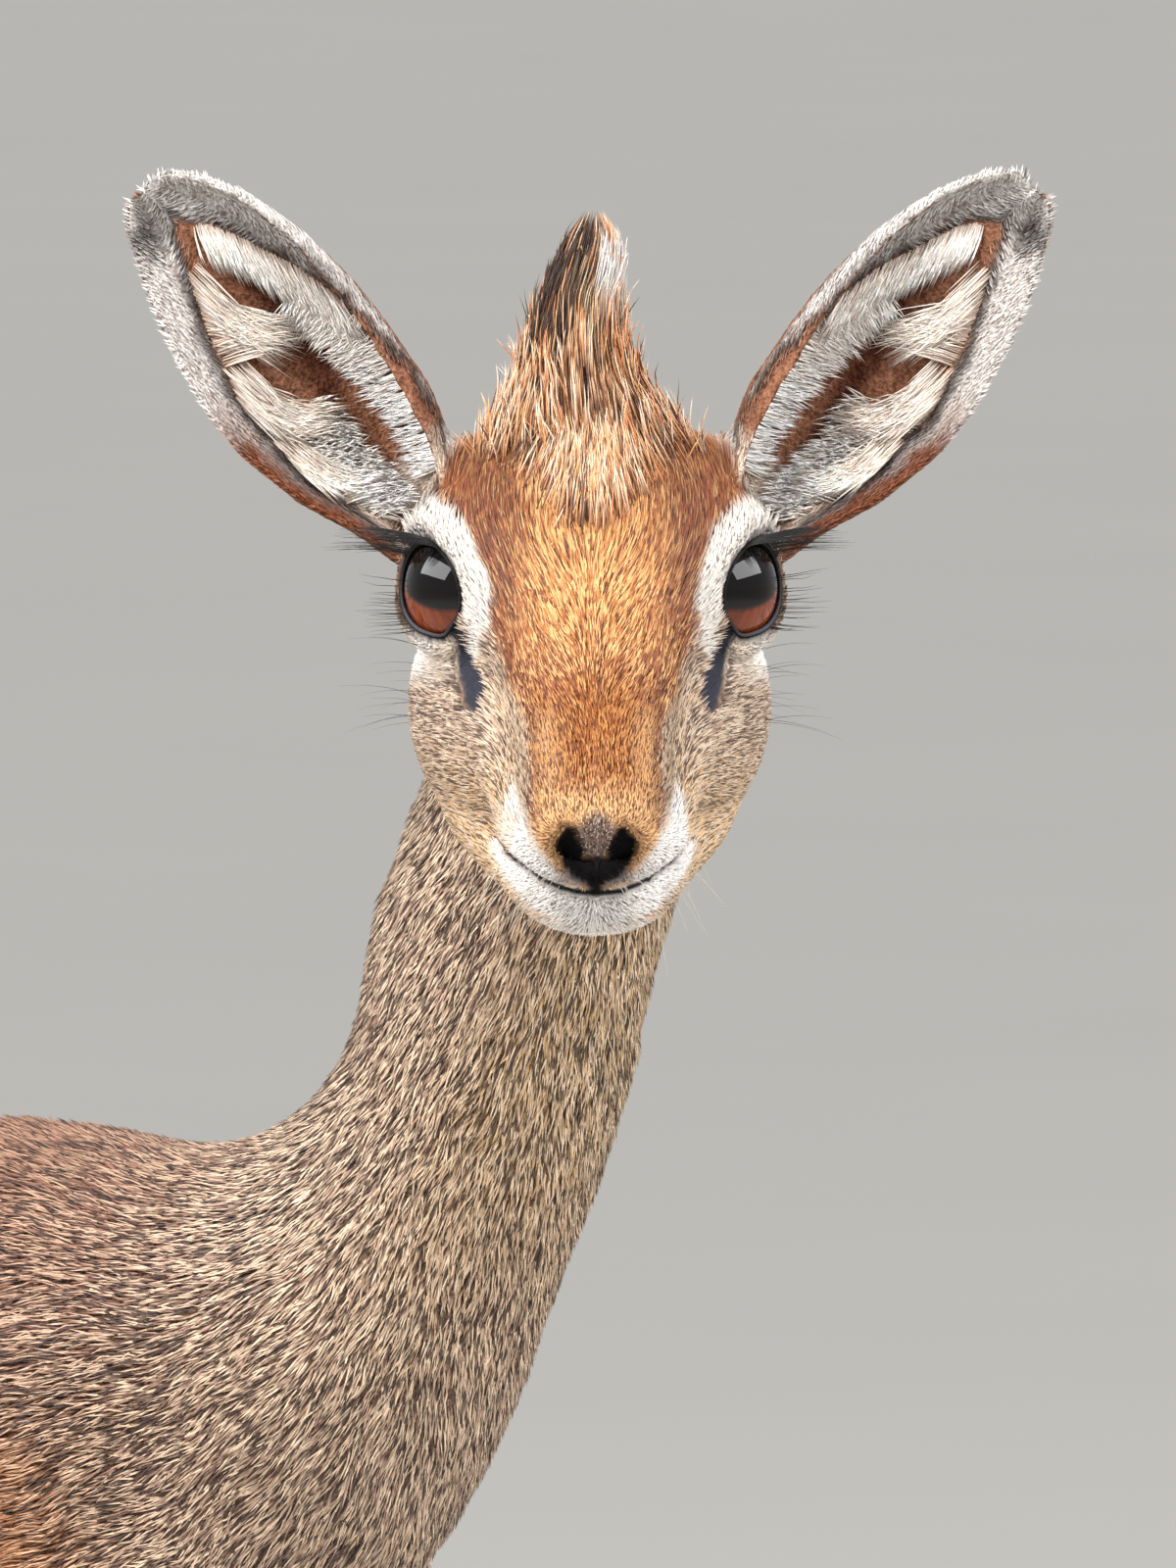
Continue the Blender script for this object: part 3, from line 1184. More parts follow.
def scattered(name, seed, count):
    # places on the skin, picked over the piece's own area as densely as it asks
    draw = np.random.default_rng(seed)
    a, b, c = (skinPoints[skinCorners[:, k]] for k in range(3))
    area = np.linalg.norm(np.cross(b - a, c - a), axis=1) / 2
    chance = pieceChance(name, skinPoints, skinShares).astype(float)
    weight = area * chance[skinCorners].mean(axis=1)
    running = np.cumsum(weight)
    if name.startswith(("neck", "body")):
        count = min(count, int(running[-1] / mm / mm / (1)))
    picked = np.searchsorted(running, (np.arange(count) + draw.random(count)) / count * running[-1])
    p, q = draw.random(count), draw.random(count)
    over = p + q > 1
    p, q = np.where(over, 1 - p, p), np.where(over, 1 - q, q)
    bary = np.stack((1 - p - q, p, q), axis=1)
    corners = skinCorners[picked]
    mix = lambda values: np.einsum("nk,nkd->nd", bary, values[corners])
    return mix(skinPoints), unit(mix(skinNormals)), mix(skinShares), draw, weight.sum() / mm / mm


def lieOf(points, normals, shares):
    # the way the coat lies, along the skin
    x, up, f, h = onFace(points)
    side, sign = np.abs(x), np.clip(x / 4, -1, 1)
    zero = np.zeros(len(points))
    fan = 0.42 * ramp(up, -34, -20) * (1 - ramp(up, 0, 16))
    draw = -0.75 * ramp(up, 16, 30) * np.clip(side / 14, 0, 1)
    forehead = np.stack((sign * (fan + draw), zero - 0.75, zero + 0.62), axis=1)
    cheek = np.stack((sign * 0.35, zero - 0.85, -0.38 * ramp(side, 10, 20) + 0.1), axis=1)
    isCheek = ramp(side, 12, 19) * (1 - ramp(up, -14, -2))
    way = forehead * (1 - isCheek)[:, None] + cheek * isCheek[:, None]
    muzzle = ramp(f, 34, 46) * (1 - ramp(up, -46, -38))
    way = blend(way, np.stack((sign * 0.55, zero - 0.55, zero - 0.5), axis=1), muzzle[:, None])
    jaw = 1 - ramp(h, -34, -26)
    way = blend(way, np.stack((sign * 0.1, zero - 1.0, zero - 0.15), axis=1), (jaw * (1 - muzzle))[:, None])
    back = ramp(-f, 22, 40)
    way = blend(way, np.stack((zero, zero - 0.5, zero - 0.9), axis=1), back[:, None])
    way = way @ headMatrix
    bx, by, bz = inBody(points).T
    neck = np.tile(unit(np.array((0.137, 0.44, -0.888))), (len(points), 1))
    turn = ramp(by + (390 - bz) * 0.25, -160, -96)
    slant = np.interp(bz, (250, 300, 350, 390), (0.05, 0.42, 0.38, 0.10))
    slant = slant + 1.1 * ramp(by, 175, 228)
    body = np.stack((zero, zero + 1.0, -slant), axis=1)
    trunk = blend(neck, body, turn[:, None])
    limb = (shares[:, 6] + shares[:, 7]) * ramp(-bz, -330, -262)
    trunk = blend(trunk, np.stack((zero, zero + 0.22, zero - 1.0), axis=1), limb[:, None])
    tail = shares[:, 3]
    trunk = blend(trunk, np.stack((zero, zero + 0.35, zero - 0.9), axis=1), ramp(tail, 0.3, 0.7)[:, None])
    way = blend(trunk, way, ramp(shares[:, 0] + shares[:, 4] + shares[:, 5], 0.2, 0.8)[:, None])
    for earSide, column in ((-1, 4), (1, 5)):
        along, across, out, flat = onEar(points, earSide)
        length, inner, opening = earWays(earSide)
        spread = np.clip((across - 0.45) * 2.2, -1, 1)
        outward = length[None] + inner[None] * spread[:, None] * 0.6
        inward = length[None] * 0.15 - inner[None] * spread[:, None] * 0.9
        rim = np.minimum(across, 1 - across) < 0.2
        inside = np.where(rim[:, None], outward, inward)
        ear = blend(outward, inside, ramp(normals @ opening, 0.0, 0.3)[:, None])
        way = blend(way, ear, ramp(shares[:, column], 0.3, 0.7)[:, None])
    way = way - normals * np.sum(way * normals, axis=1, keepdims=True)
    return unit(way)


def tuftSizes(points, shares, masks):
    # length, width, and the height of shoulders and tip, in mm
    x, up, f, h = onFace(points)
    side = np.abs(x)
    bx, by, bz = inBody(points).T
    head = masks["head"]
    length = np.interp(up, (-56, -48, -38, -22, -6, 14, 26), (2.4, 1.3, 1.2, 1.8, 3.8, 5.6, 7.2))
    cheek = ramp(side, 10, 15) * (1 - ramp(up, -12, -4))
    length = blend(length, 3.6 - 1.2 * ramp(f, 34, 44), cheek)
    length = blend(length, 6.0, ramp(-f, 10, 34))
    length = length * (1 - 0.40 * masks["white"]) * (1 - 0.45 * masks["nose"])
    width = 0.31 - 0.07 * ramp(f, 30, 50) + 0.16 * ramp(-f, 10, 30)
    body = 4.4 + 3.2 * ramp(by, -80, 20) - 0.6 * ramp(bz, 430, 470)
    bodyWidth = 0.36 + 0.42 * ramp(by, -90, 20)
    limb = (shares[:, 6] + shares[:, 7]) * ramp(-bz, -262, -235)
    body = blend(body, np.interp(bz, (14, 40, 150, 250), (1.8, 2.8, 3.6, 6.5)), limb)
    bodyWidth = blend(bodyWidth, 0.62, limb)
    body = blend(body, 13.0, ramp(shares[:, 3], 0.3, 0.7))
    length, width = blend(body, length, head), blend(bodyWidth, width, head)
    ear = ramp(masks["ear"], 0.3, 0.7)
    length = blend(length, 2.3 - 0.5 * masks["cup"], ear)
    width = blend(width, 0.36 - 0.08 * masks["cup"], ear)
    rise = blend(0.75 - 0.35 * limb, 0.36 - 0.18 * masks["nose"], head)
    rise = blend(rise, 0.22, ear)
    tip = blend(1.3 - 0.6 * limb, 0.60 + 0.7 * ramp(up, 20, 30) - 0.3 * masks["nose"], head)
    return length, width, rise, blend(tip, 0.28, ear)


def tuftColours(points, base, shares, masks, draw):
    # each tuft is picked light, middling or dark, as a grizzled coat is
    count = len(points)
    x, up, f, h = onFace(points)
    side = np.abs(x)
    cell = blend(1.6, 1.1, masks["head"])[:, None] * mm
    grain = 0.8 * draw.random(count) + 0.2 * latticeNoise(points, cell, 21)
    grain = (grain - 0.5) * 1.2 + 0.5
    head, orange, white = masks["head"], masks["orange"], masks["white"]
    sideBand = bump(side, 15.5, 4.0) * ramp(up, -12, 4)
    middle = (1 - ramp(side, 8, 13)) * ramp(up, 10, 24)
    centre = 1 - ramp(side, 6, 17)
    # the shares of light and of dark tufts
    light = blend(0.40, 0.20 + 0.22 * centre + 0.08 * middle, orange)
    dark = blend(0.33, 0.22 + 0.24 * sideBand + 0.16 * middle, orange)
    light, dark = blend(light, 0.34, masks["bridge"]), blend(dark, 0.18, masks["bridge"])
    plain = np.clip(white + masks["ear"] + shares[:, 6] + shares[:, 7], 0, 1)
    light, dark = blend(light, 0.3, masks["low"]), blend(dark, 0.16, masks["low"])
    lightTick = np.tile(palette["neckTick"], (count, 1))
    lightTick = tint(lightTick, palette["backTick"], masks["torso"] * ramp(inBody(points)[:, 1], -150, -60))
    lightTick = tint(lightTick, palette["creamTick"], head)
    lightTick = tint(lightTick, palette["orangeTick"], orange * (1 - middle * 0.85))
    lightTick = tint(lightTick, palette["bridgeTick"], masks["bridge"] * ramp(up, -40, -30))
    lightTick = lightTick * (1 - 0.48 * orange * (1 - centre) * ramp(up, -16, -4))[:, None]
    lightTick = lightTick * (1 - 0.20 * head * (1 - orange))[:, None]
    lightTick = tint(lightTick, palette["flankTick"], masks["low"] * masks["torso"] * 0.8)
    darkTick = np.tile(palette["darkTick"], (count, 1))
    darkTick = tint(darkTick, palette["brownTick"], orange * (1 - middle * 0.7) * 0.8)
    isLight = 1 - ramp(grain, light - 0.05, light + 0.05)
    isDark = ramp(grain, 1 - dark - 0.05, 1 - dark + 0.05)
    strength = (1 - 0.90 * plain) * blend(0.90, 0.85, head)
    colour = base + (lightTick - base) * (isLight * strength)[:, None]
    colour = colour + (darkTick - colour) * (isDark * strength)[:, None]
    spread = 0.13 + 0.16 * masks["ear"]
    return colour * (1 + spread * draw.uniform(-1, 0.9, count))[:, None]


def unwrapped(name, points):
    # an unwrap of the piece's own shape: round the head, along the neck, body and legs, flat for an ear
    x, y, z = inBody(points).T
    hx, up, f, h = onFace(points)
    if name.startswith("ear"):
        along, across, out, flat = onEar(points, 1 if name.endswith("left") else -1)
        return np.stack((np.clip(across, -0.2, 1.2) / 2.8 + 0.5 * (out > -4), along), axis=1)
    if name.startswith("head") or name == "crest":
        turn = np.arctan2(f - 12, h + 6)
        return np.stack((turn / (2 * math.pi), np.abs(hx) / 40), axis=1)
    if name.startswith("neck"):
        middleX, middleY = neckMiddle(z)
        return np.stack((np.arctan2(x - middleX, y - middleY) / (2 * math.pi), z / 160), axis=1)
    if name.startswith("body"):
        return np.stack((np.arctan2(np.abs(x), z - 310) / math.pi, y / 200), axis=1)
    middleX = np.where(x > 0, 33.0, -33.0)
    middleY = -90 if name == "forelegs" else 195
    turn = np.arctan2(x - middleX, y - middleY) / (2 * math.pi) + 0.5
    return np.stack((turn / 2 + (x > 0) * 0.5, z / 250), axis=1)


def squared(spots):
    low, high = spots.min(axis=0), spots.max(axis=0)
    return 0.004 + 0.992 * (spots - low) / (high - low)


def addMap(mesh, corners, spots):
    kept = mesh.uv_layers.new(name="OFBake")
    kept.data.foreach_set("uv", spots[corners.ravel()].astype(np.float32).ravel())


def coatPiece(name, points, corners, colours, normals, spots, finish):
    mesh = meshFrom("coat_" + name, points, corners)
    addColours(mesh, colours)
    addMap(mesh, corners, spots)
    shadeSmooth(mesh)
    mesh.normals_split_custom_set_from_vertices(normals.astype(np.float32))
    made = linked("coat_" + name, mesh)
    mesh.materials.append(finish)
    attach(made, "root")
    return len(corners)


def makeTufts(name, seed, count, finish):
    points, normals, shares, draw, area = scattered(name, seed, count)
    count = len(points)
    base, bald, masks = coatMarks(points, normals, shares)
    kept = np.maximum(bald, masks["cavity"]) + draw.random(count) * 0.3 < 0.45
    points, normals, shares, base = points[kept], normals[kept], shares[kept], base[kept]
    masks = {key: value[kept] for key, value in masks.items()}
    count = len(points)
    lie = lieOf(points, normals, shares)
    across = np.cross(normals, lie)
    calm = 1 - 0.5 * masks["head"]
    swing = (draw.normal(0, 0.15, count) + (latticeNoise(points, 5 * mm, 31) - 0.5) * 0.5) * calm
    lie = unit(lie * np.cos(swing)[:, None] + across * np.sin(swing)[:, None])
    across = np.cross(normals, lie)
    length, width, rise, tip = (v * mm for v in tuftSizes(points, shares, masks))
    length = length * draw.uniform(0.75, 1.2, count)
    width = width * draw.uniform(0.75, 1.25, count)
    rise, tip = rise * draw.uniform(0.6, 1.2, count), tip * draw.uniform(0.5, 1.35, count)
    near = np.full(count, 99.0)
    for side in (-1, 1):
        near = np.minimum(near, lidGap(points, side)[0])
    short = 0.35 + 0.65 * ramp(near, 0.5, 5)
    length, rise, tip = length * short, rise * (0.5 + short / 2), tip * (0.5 + short / 2)
    colour = tuftColours(points, base, shares, masks, draw)
    root = points - normals * (0.25 * mm)
    mid = points + lie * (length * 0.36)[:, None] + normals * rise[:, None]
    left, right = mid + across * (width / 2)[:, None], mid - across * (width / 2)[:, None]
    end = points + lie * length[:, None] + normals * tip[:, None]
    places = np.stack((root, left, right, end), axis=1).reshape(-1, 3)
    start = np.arange(count)[:, None, None] * 4
    corners = (start + np.array(((0, 2, 1), (1, 2, 3), (0, 1, 3), (0, 3, 2)))[None]).reshape(-1, 3)
    shades = np.stack((colour * 0.45, colour * 0.96, colour * 0.96, colour * 1.08), axis=1).reshape(-1, 3)
    lean = normals + across * draw.uniform(-0.34, 0.34, count)[:, None]
    lean = lean + lie * draw.uniform(-0.1, 0.35, count)[:, None]
    shading = np.repeat(unit(lean), 4, axis=0)
    spots = squared(unwrapped(name, points))
    offsets = np.array(((0, -0.0015), (-0.0012, 0), (0.0012, 0), (0, 0.0015)))
    spots = (spots[:, None] + offsets[None]).reshape(-1, 2)
    faces = coatPiece(name, places, corners, shades, shading, spots, finish)
    say(f"coat on {name}: {count} tufts over {area:.0f} mm2, {faces} triangles")


furFinish = tuftFinish("short_fur")
for name, (seed, count) in tuftPieces.items():
    makeTufts(name, seed, count, furFinish)


# Long hair: tapered three-sided strands along a path, for the crest and for the ears

def strands(name, paths, widths, colours, spots, finish):
    # paths is strands x points x 3, widths and colours are given for each of those points
    count, steps = paths.shape[:2]
    ahead = unit(np.gradient(paths, axis=1))
    across = unit(np.cross(ahead, np.array(headLeft + 0.3 * headUp)))
    rise = np.cross(ahead, across)
    places, normals = [], []
    for turn in (0.5, 0.5 + 2 / 3, 0.5 + 4 / 3):
        way = across * math.cos(turn * math.pi) + rise * math.sin(turn * math.pi)
        normals.append(way)
        places.append(paths + way * (widths * 0.5)[:, :, None])
    rings = np.stack(places, axis=2)[:, :-1].reshape(count, -1, 3)
    points = np.concatenate((rings, paths[:, -1:]), axis=1)
    shading = np.concatenate((np.stack(normals, axis=2)[:, :-1].reshape(count, -1, 3), ahead[:, -1:]), axis=1)
    each = [(0, 2, 1)]
    for ring in range(steps - 2):
        for k in range(3):
            a, b = ring * 3 + k, ring * 3 + (k + 1) % 3
            each += [(a, b, b + 3), (a, b + 3, a + 3)]
    last = (steps - 2) * 3
    each += [(last + k, last + (k + 1) % 3, last + 3) for k in range(3)]
    each = np.array(each)
    perStrand, sample = points.shape[1], points[0]
    each = facedOut(sample - sample.mean(axis=0), each)
    corners = (np.arange(count)[:, None, None] * perStrand + each[None]).reshape(-1, 3)
    shades = np.concatenate((np.repeat(colours[:, :-1], 3, axis=1), colours[:, -1:]), axis=1)
    along = np.append(np.repeat(np.arange(steps - 1), 3), steps - 1) / (steps - 1)
    offset = np.stack((np.zeros(perStrand), along * 0.003 - 0.0015), axis=1)
    offset[:, 0] += np.tile((-0.0012, 0, 0.0012), steps)[:perStrand] * (1 - along)
    spots = (spots[:, None] + offset[None]).reshape(-1, 2)
    points, shades, shading = (values.reshape(-1, 3) for values in (points, shades, shading))
    faces = coatPiece(name, points, corners, shades, unit(shading), spots, finish)
    say(f"{name}: {count} strands, {faces} triangles")


raised, facing = headWay(0, -0.469, 0.883), headWay(0, 0.883, 0.469)
surface = BVHTree.FromPolygons([tuple(p) for p in skinPoints], skinCorners.tolist())


def dropped(points, way, reach):
    # each point moved along a way until it meets the skin, if it does within reach
    found, ok = points.copy(), np.zeros(len(points), bool)
    way = Vector(way)
    for number, point in enumerate(points):
        hit = surface.ray_cast(Vector(point), way, reach)[0]
        if hit is not None:
            found[number], ok[number] = hit, True
    return found, ok


crest = {
    # above the eyes as the camera sees it, the middle across, half width, half depth, and how far back, in mm
    "up": (21.0, 25.5, 29.0, 33.0, 37.0, 44.0, 51.0, 56.0, 61.0, 65.0),
    "middle": (0.0, -0.6, -1.2, -1.6, -2.0, -2.3, -1.8, -0.4, 0.6, 0.8),
    "half": (21.0, 19.0, 16.6, 14.0, 11.2, 8.8, 7.2, 5.9, 3.9, 1.4),
    "deep": (12.0, 11.5, 10.5, 9.2, 8.0, 6.4, 4.8, 3.4, 2.0, 0.6),
    "back": (-15.0, -16.0, -17.5, -19.0, -20.5, -22.5, -24.5, -26.0, -27.5, -28.5),
    "strands": 6200, "crownStrands": 4600, "width": 0.31, "seed": 41,
}


def crestPlace(up, turn, reach):
    # a place on the crest's outer shape: turn 0 is its left, a quarter turn is its front
    keys = ("middle", "half", "back", "deep")
    middleX, half, back, deep = (np.interp(up, crest["up"], crest[key]) for key in keys)
    x = middleX + np.cos(turn) * half * reach
    f = back + np.sin(turn) * deep * reach
    return np.stack((x, f, (up + 0.469 * f) / 0.883), axis=-1)


def crestColours(paths, draw, fresh):
    # orange-brown, streaked with dark brown and cream; black at the top and a white tuft at its left;
    # the first strands, as many as fresh says, have dark roots
    count, steps = paths.shape[:2]
    x, f, h = np.moveaxis(inHead(paths.reshape(-1, 3)).reshape(count, steps, 3), 2, 0)
    up = 0.883 * h - 0.469 * f
    share = np.linspace(0, 1, steps)[None, :, None]
    pick = draw.random(count) + (latticeNoise(paths[:, 0], 1.8 * mm, 51) - 0.5) * 0.5
    tipUp, tipX = up[:, -1], x[:, -1]
    light = 0.66 - 0.22 * ramp(tipUp, 40, 50)
    isLight, isDark = (pick < light)[:, None, None], (pick > 0.80)[:, None, None]
    cream = np.array(palette["creamTick"]) * draw.uniform(1.0, 1.28, count)[:, None, None]
    cream = blend(cream, np.array(palette["orangeTick"]), (draw.random(count) < 0.42)[:, None, None] * 0.8)
    dark = np.array(palette["darkTick"]) * draw.uniform(0.7, 1.6, count)[:, None, None]
    base = np.array(palette["crown"]) * draw.uniform(1.0, 2.0, count)[:, None, None]
    base = base * np.ones((count, steps, 1))
    base = blend(base, blend(base * 0.7, cream, np.clip(share * 1.6, 0, 1)), isLight)
    base = blend(base, dark, isDark * 0.9)
    top = ramp(tipUp, 50, 57) * (draw.random(count) < 0.8) * (1 - ramp(tipX, 0.8, 2.6))
    top = np.maximum(top, ramp(tipUp, 42, 50) * (draw.random(count) < 0.7) * ramp(-tipX, 2.4, 4.6))
    base = blend(base, np.array(palette["darkTick"]) * 0.7, top[:, None, None] * 0.95)
    white = ramp(tipUp, 51, 56) * (1 - ramp(tipUp, 62.5, 64)) * ramp(tipX, 1.2, 2.4)
    white = white * (draw.random(count) < 0.85)
    base = blend(base, np.array(palette["white"]) * 0.95, white[:, None, None])
    pale = ramp(tipUp, 44, 50) * (1 - ramp(tipUp, 56, 60)) * bump(tipX, -0.2, 1.6)
    pale = pale * (draw.random(count) < 0.6)
    base = blend(base, np.array(palette["crestPale"]), pale[:, None, None])
    root = np.where(np.arange(count) < fresh, 0.55, 0.9)[:, None]
    base = base * blend(root, 1.05, ramp(np.linspace(0, 1, steps), 0, 0.4)[None])[:, :, None]
    return np.clip(base, 0, 1)


def makeCrest():
    draw = np.random.default_rng(crest["seed"])
    shrink = 1
    # overlapping strands up the crest's sides, each leaving a little more than the one above it
    count = crest["strands"] // shrink
    low = 21 + 38 * draw.random(count) ** 1.1
    size = draw.uniform(5.0, 10.0, count)
    top = np.minimum(low + size, 65.4 - draw.random(count) ** 1.3 * 8.0)
    turn = draw.random(count) * 2 * math.pi
    reach = np.sqrt(draw.uniform(0.35, 1.0, count))
    clump = latticeNoise(np.stack((turn * 2.4, low * 0.22, turn * 0), axis=1), 1.0, 5) - 0.5
    flare = draw.uniform(0.0, 0.34, count) ** 1.2 + clump * 0.3 + 0.12 * ramp(low, 44, 56)
    flare = flare + 0.30 * (draw.random(count) < 0.07)
    shares = (0.0, 0.34, 0.7, 1.0)
    steps = [crestPlace(low + (top - low) * share, turn + clump * 0.25 * share,
                        reach * (1 + flare * share ** 1.5)) for share in shares]
    paths = [fromHead(np.stack(steps, axis=1).reshape(-1, 3)).reshape(count, 4, 3)]
    # longer strands over the top of the forehead, lying up against the crest
    chance = crest["crownStrands"] // shrink
    spotUp = 32 - 24 * draw.random(chance) ** 1.35
    spotX = np.clip(draw.normal(0, 0.5, chance), -1.2, 1.2) * (6 + (spotUp - 8) * 0.52)
    start = fromHead(np.stack((spotX, spotX * 0, spotX * 0), axis=1))
    start = start + raised * (spotUp * mm)[:, None] + facing * 0.1
    roots, ok = dropped(start, -facing, 0.2)
    ok &= draw.random(chance) < ramp(spotUp, 6, 24) * (1 - 0.7 * ramp(np.abs(spotX), 6, 16))
    roots, spotX, chance = roots[ok], spotX[ok], int(ok.sum())
    ahead = headLeft * (-spotX * 0.035)[:, None] - headForward * 0.42 + headUp * 0.85
    ahead = unit(ahead + headLeft * draw.normal(0, 0.10, chance)[:, None])
    size = draw.uniform(5.0, 9.0, chance) * mm
    lift = draw.uniform(0.5, 1.6, chance) * mm
    arch = [lift * math.sin(share * 2.2) - 0.4 * mm * (share == 0) for share in shares]
    steps = [roots + ahead * (size * share)[:, None] + facing * rise[:, None]
             for share, rise in zip(shares, arch)]
    paths.append(np.stack(steps, axis=1))
    fresh = len(paths[0])
    paths = np.concatenate(paths)
    count = len(paths)
    taper = np.array((0.8, 1.0, 0.72, 0.15))
    widths = crest["width"] * draw.uniform(0.65, 1.2, count)[:, None] * taper[None] * mm
    spots = squared(unwrapped("crest", paths[:, 0]))
    strands("crest", paths, widths, crestColours(paths, draw, fresh), spots, furFinish)


earHair = {
    "high": ((0.0, 0.97), (0.25, 0.93), (0.48, 0.86), (0.61, 0.81), (0.81, 0.68), (0.90, 0.50)),
    "low": ((0.1, 0.10), (0.31, 0.14), (0.455, 0.14), (0.65, 0.21), (0.85, 0.33), (0.90, 0.5)),
    "nodes": (0.20, 0.42, 0.66), "fanLengths": (10.0, 14.0, 16.0),
    "fringe": 850, "band": 1400, "fans": 1800, "base": 750, "seed": 61,
    "rootToTip": ((0.62, 0.50, 0.42), (1.02, 1.0, 0.98), (1.18, 1.18, 1.18), (1.25, 1.25, 1.25)),
}


def makeEarHair(side, name):
    draw = np.random.default_rng(earHair["seed"] + side)
    length, inner, opening = earWays(side)
    root = fromHead(np.array(earSizes["root"]) * (side, 1, 1))
    highLine, lowLine = np.array(earHair["high"]).T, np.array(earHair["low"]).T

    def spot(along, flat):
        place = root + length * (along * earSizes["length"] * mm)[:, None] + inner * (flat * mm)[:, None]
        return dropped(place + opening * (32 * mm), -opening, 66 * mm)

    def group(kind):
        # root along and across the ear, way along and across it in mm, share of tan, and height of the arch
        count = earHair[kind] // 1
        if kind == "fringe":
            along = draw.uniform(0.46, 0.85, count)
            across = np.interp(along, *highLine) - draw.random(count) ** 1.5 * 0.07
            lean = -8.0 + draw.normal(0, 0.9, count)
            return along, across, lean, -3.6 + draw.normal(0, 0.9, count), 0.10, 1.7
        if kind == "band":
            along = draw.uniform(-0.02, 0.56, count)
            across = np.interp(along, *highLine) - draw.random(count) ** 1.3 * 0.16
            lean = np.interp(along, (0, 0.3, 0.56), (3.4, 2.4, -2.5)) + draw.normal(0, 0.9, count)
            return along, across, lean, -7.4 + draw.normal(0, 0.8, count), 0.0, 1.5
        if kind == "fans":
            node = np.array(earHair["nodes"])[draw.integers(0, 3, count)]
            off = np.clip(draw.normal(0, 0.055, count), -0.12, 0.12)
            along = np.clip(node + off, 0.05, 0.84)
            across = np.interp(along, *lowLine) - 0.03 + draw.random(count) ** 1.6 * 0.12
            size = np.interp(node, earHair["nodes"], earHair["fanLengths"]) * draw.uniform(0.45, 1.12, count)
            angle = np.clip(0.52 - off * 8.0 + draw.normal(0, 0.14, count), -0.05, 1.15)
            return along, across, -np.cos(angle) * size, np.sin(angle) * size + 1.2, 0.45, 2.4
        along = draw.uniform(0.0, 0.34, count)
        across = np.interp(along, *lowLine) + draw.random(count) * 0.26
        return along, across, -3.0 + draw.normal(0, 1.4, count), 5.2 + draw.normal(0, 0.9, count), 0.10, 2.0

    found = [], [], [], []
    for kind in ("fans", "base", "band", "fringe"):
        along, across, lean, reach, tan, arch = group(kind)
        low = np.interp(along, earSizes["share"], earSizes["outer"])
        high = np.interp(along, earSizes["share"], earSizes["inner"])
        flat = low + across * (high - low)
        count = len(along)
        steps, good = [], np.ones(count, bool)
        for share in (0.0, 0.3, 0.65, 1.0):
            curl = share * share * 0.25
            place, ok = spot(along + lean * share / earSizes["length"], flat + reach * (share - curl))
            lift = arch * (math.sin(share * math.pi * 0.75) + 0.2 * share) - 0.3 * (share == 0)
            steps.append(place + opening * (lift * draw.uniform(0.7, 1.2, count) * mm)[:, None])
            good &= ok
        paths = np.stack(steps, axis=1)
        good &= np.linalg.norm(np.diff(paths, axis=1), axis=2).max(axis=1) < 10 * mm
        share = np.clip(tan + draw.normal(0, 0.2, count), 0, 1)
        tone = tint(np.tile(palette["white"], (count, 1)), palette["earTan"], share)
        lock = latticeNoise(np.stack((along * 60, across * 20, along * 0), axis=1), 1.0, 9)
        bright = draw.uniform(0.86, 1.08, count) * (0.78 + 0.44 * lock) * (1.3 - 0.3 * ramp(along, 0.1, 0.3))
        tone = (tone * bright[:, None])[:, None] * np.array(earHair["rootToTip"])[None]
        widths = draw.uniform(0.26, 0.44, count)[:, None] * np.array((0.8, 1.0, 0.7, 0.15))[None] * mm
        spots = unwrapped("ear_left" if side > 0 else "ear_right", paths[:, 0])
        for store, values in zip(found, (paths, widths, np.clip(tone, 0, 1), spots)):
            store.append(values[good])
    paths, widths, colours, spots = (np.concatenate(store) for store in found)
    strands(name, paths, widths, colours, squared(spots), furFinish)


makeCrest()
makeEarHair(1, "ear_hair_left")
makeEarHair(-1, "ear_hair_right")


# Lashes and whiskers: guide lines swept by one Geometry Nodes tree

hairTree = {"sides": 5, "seed": 3, "points": 9, "tip": 0.12}


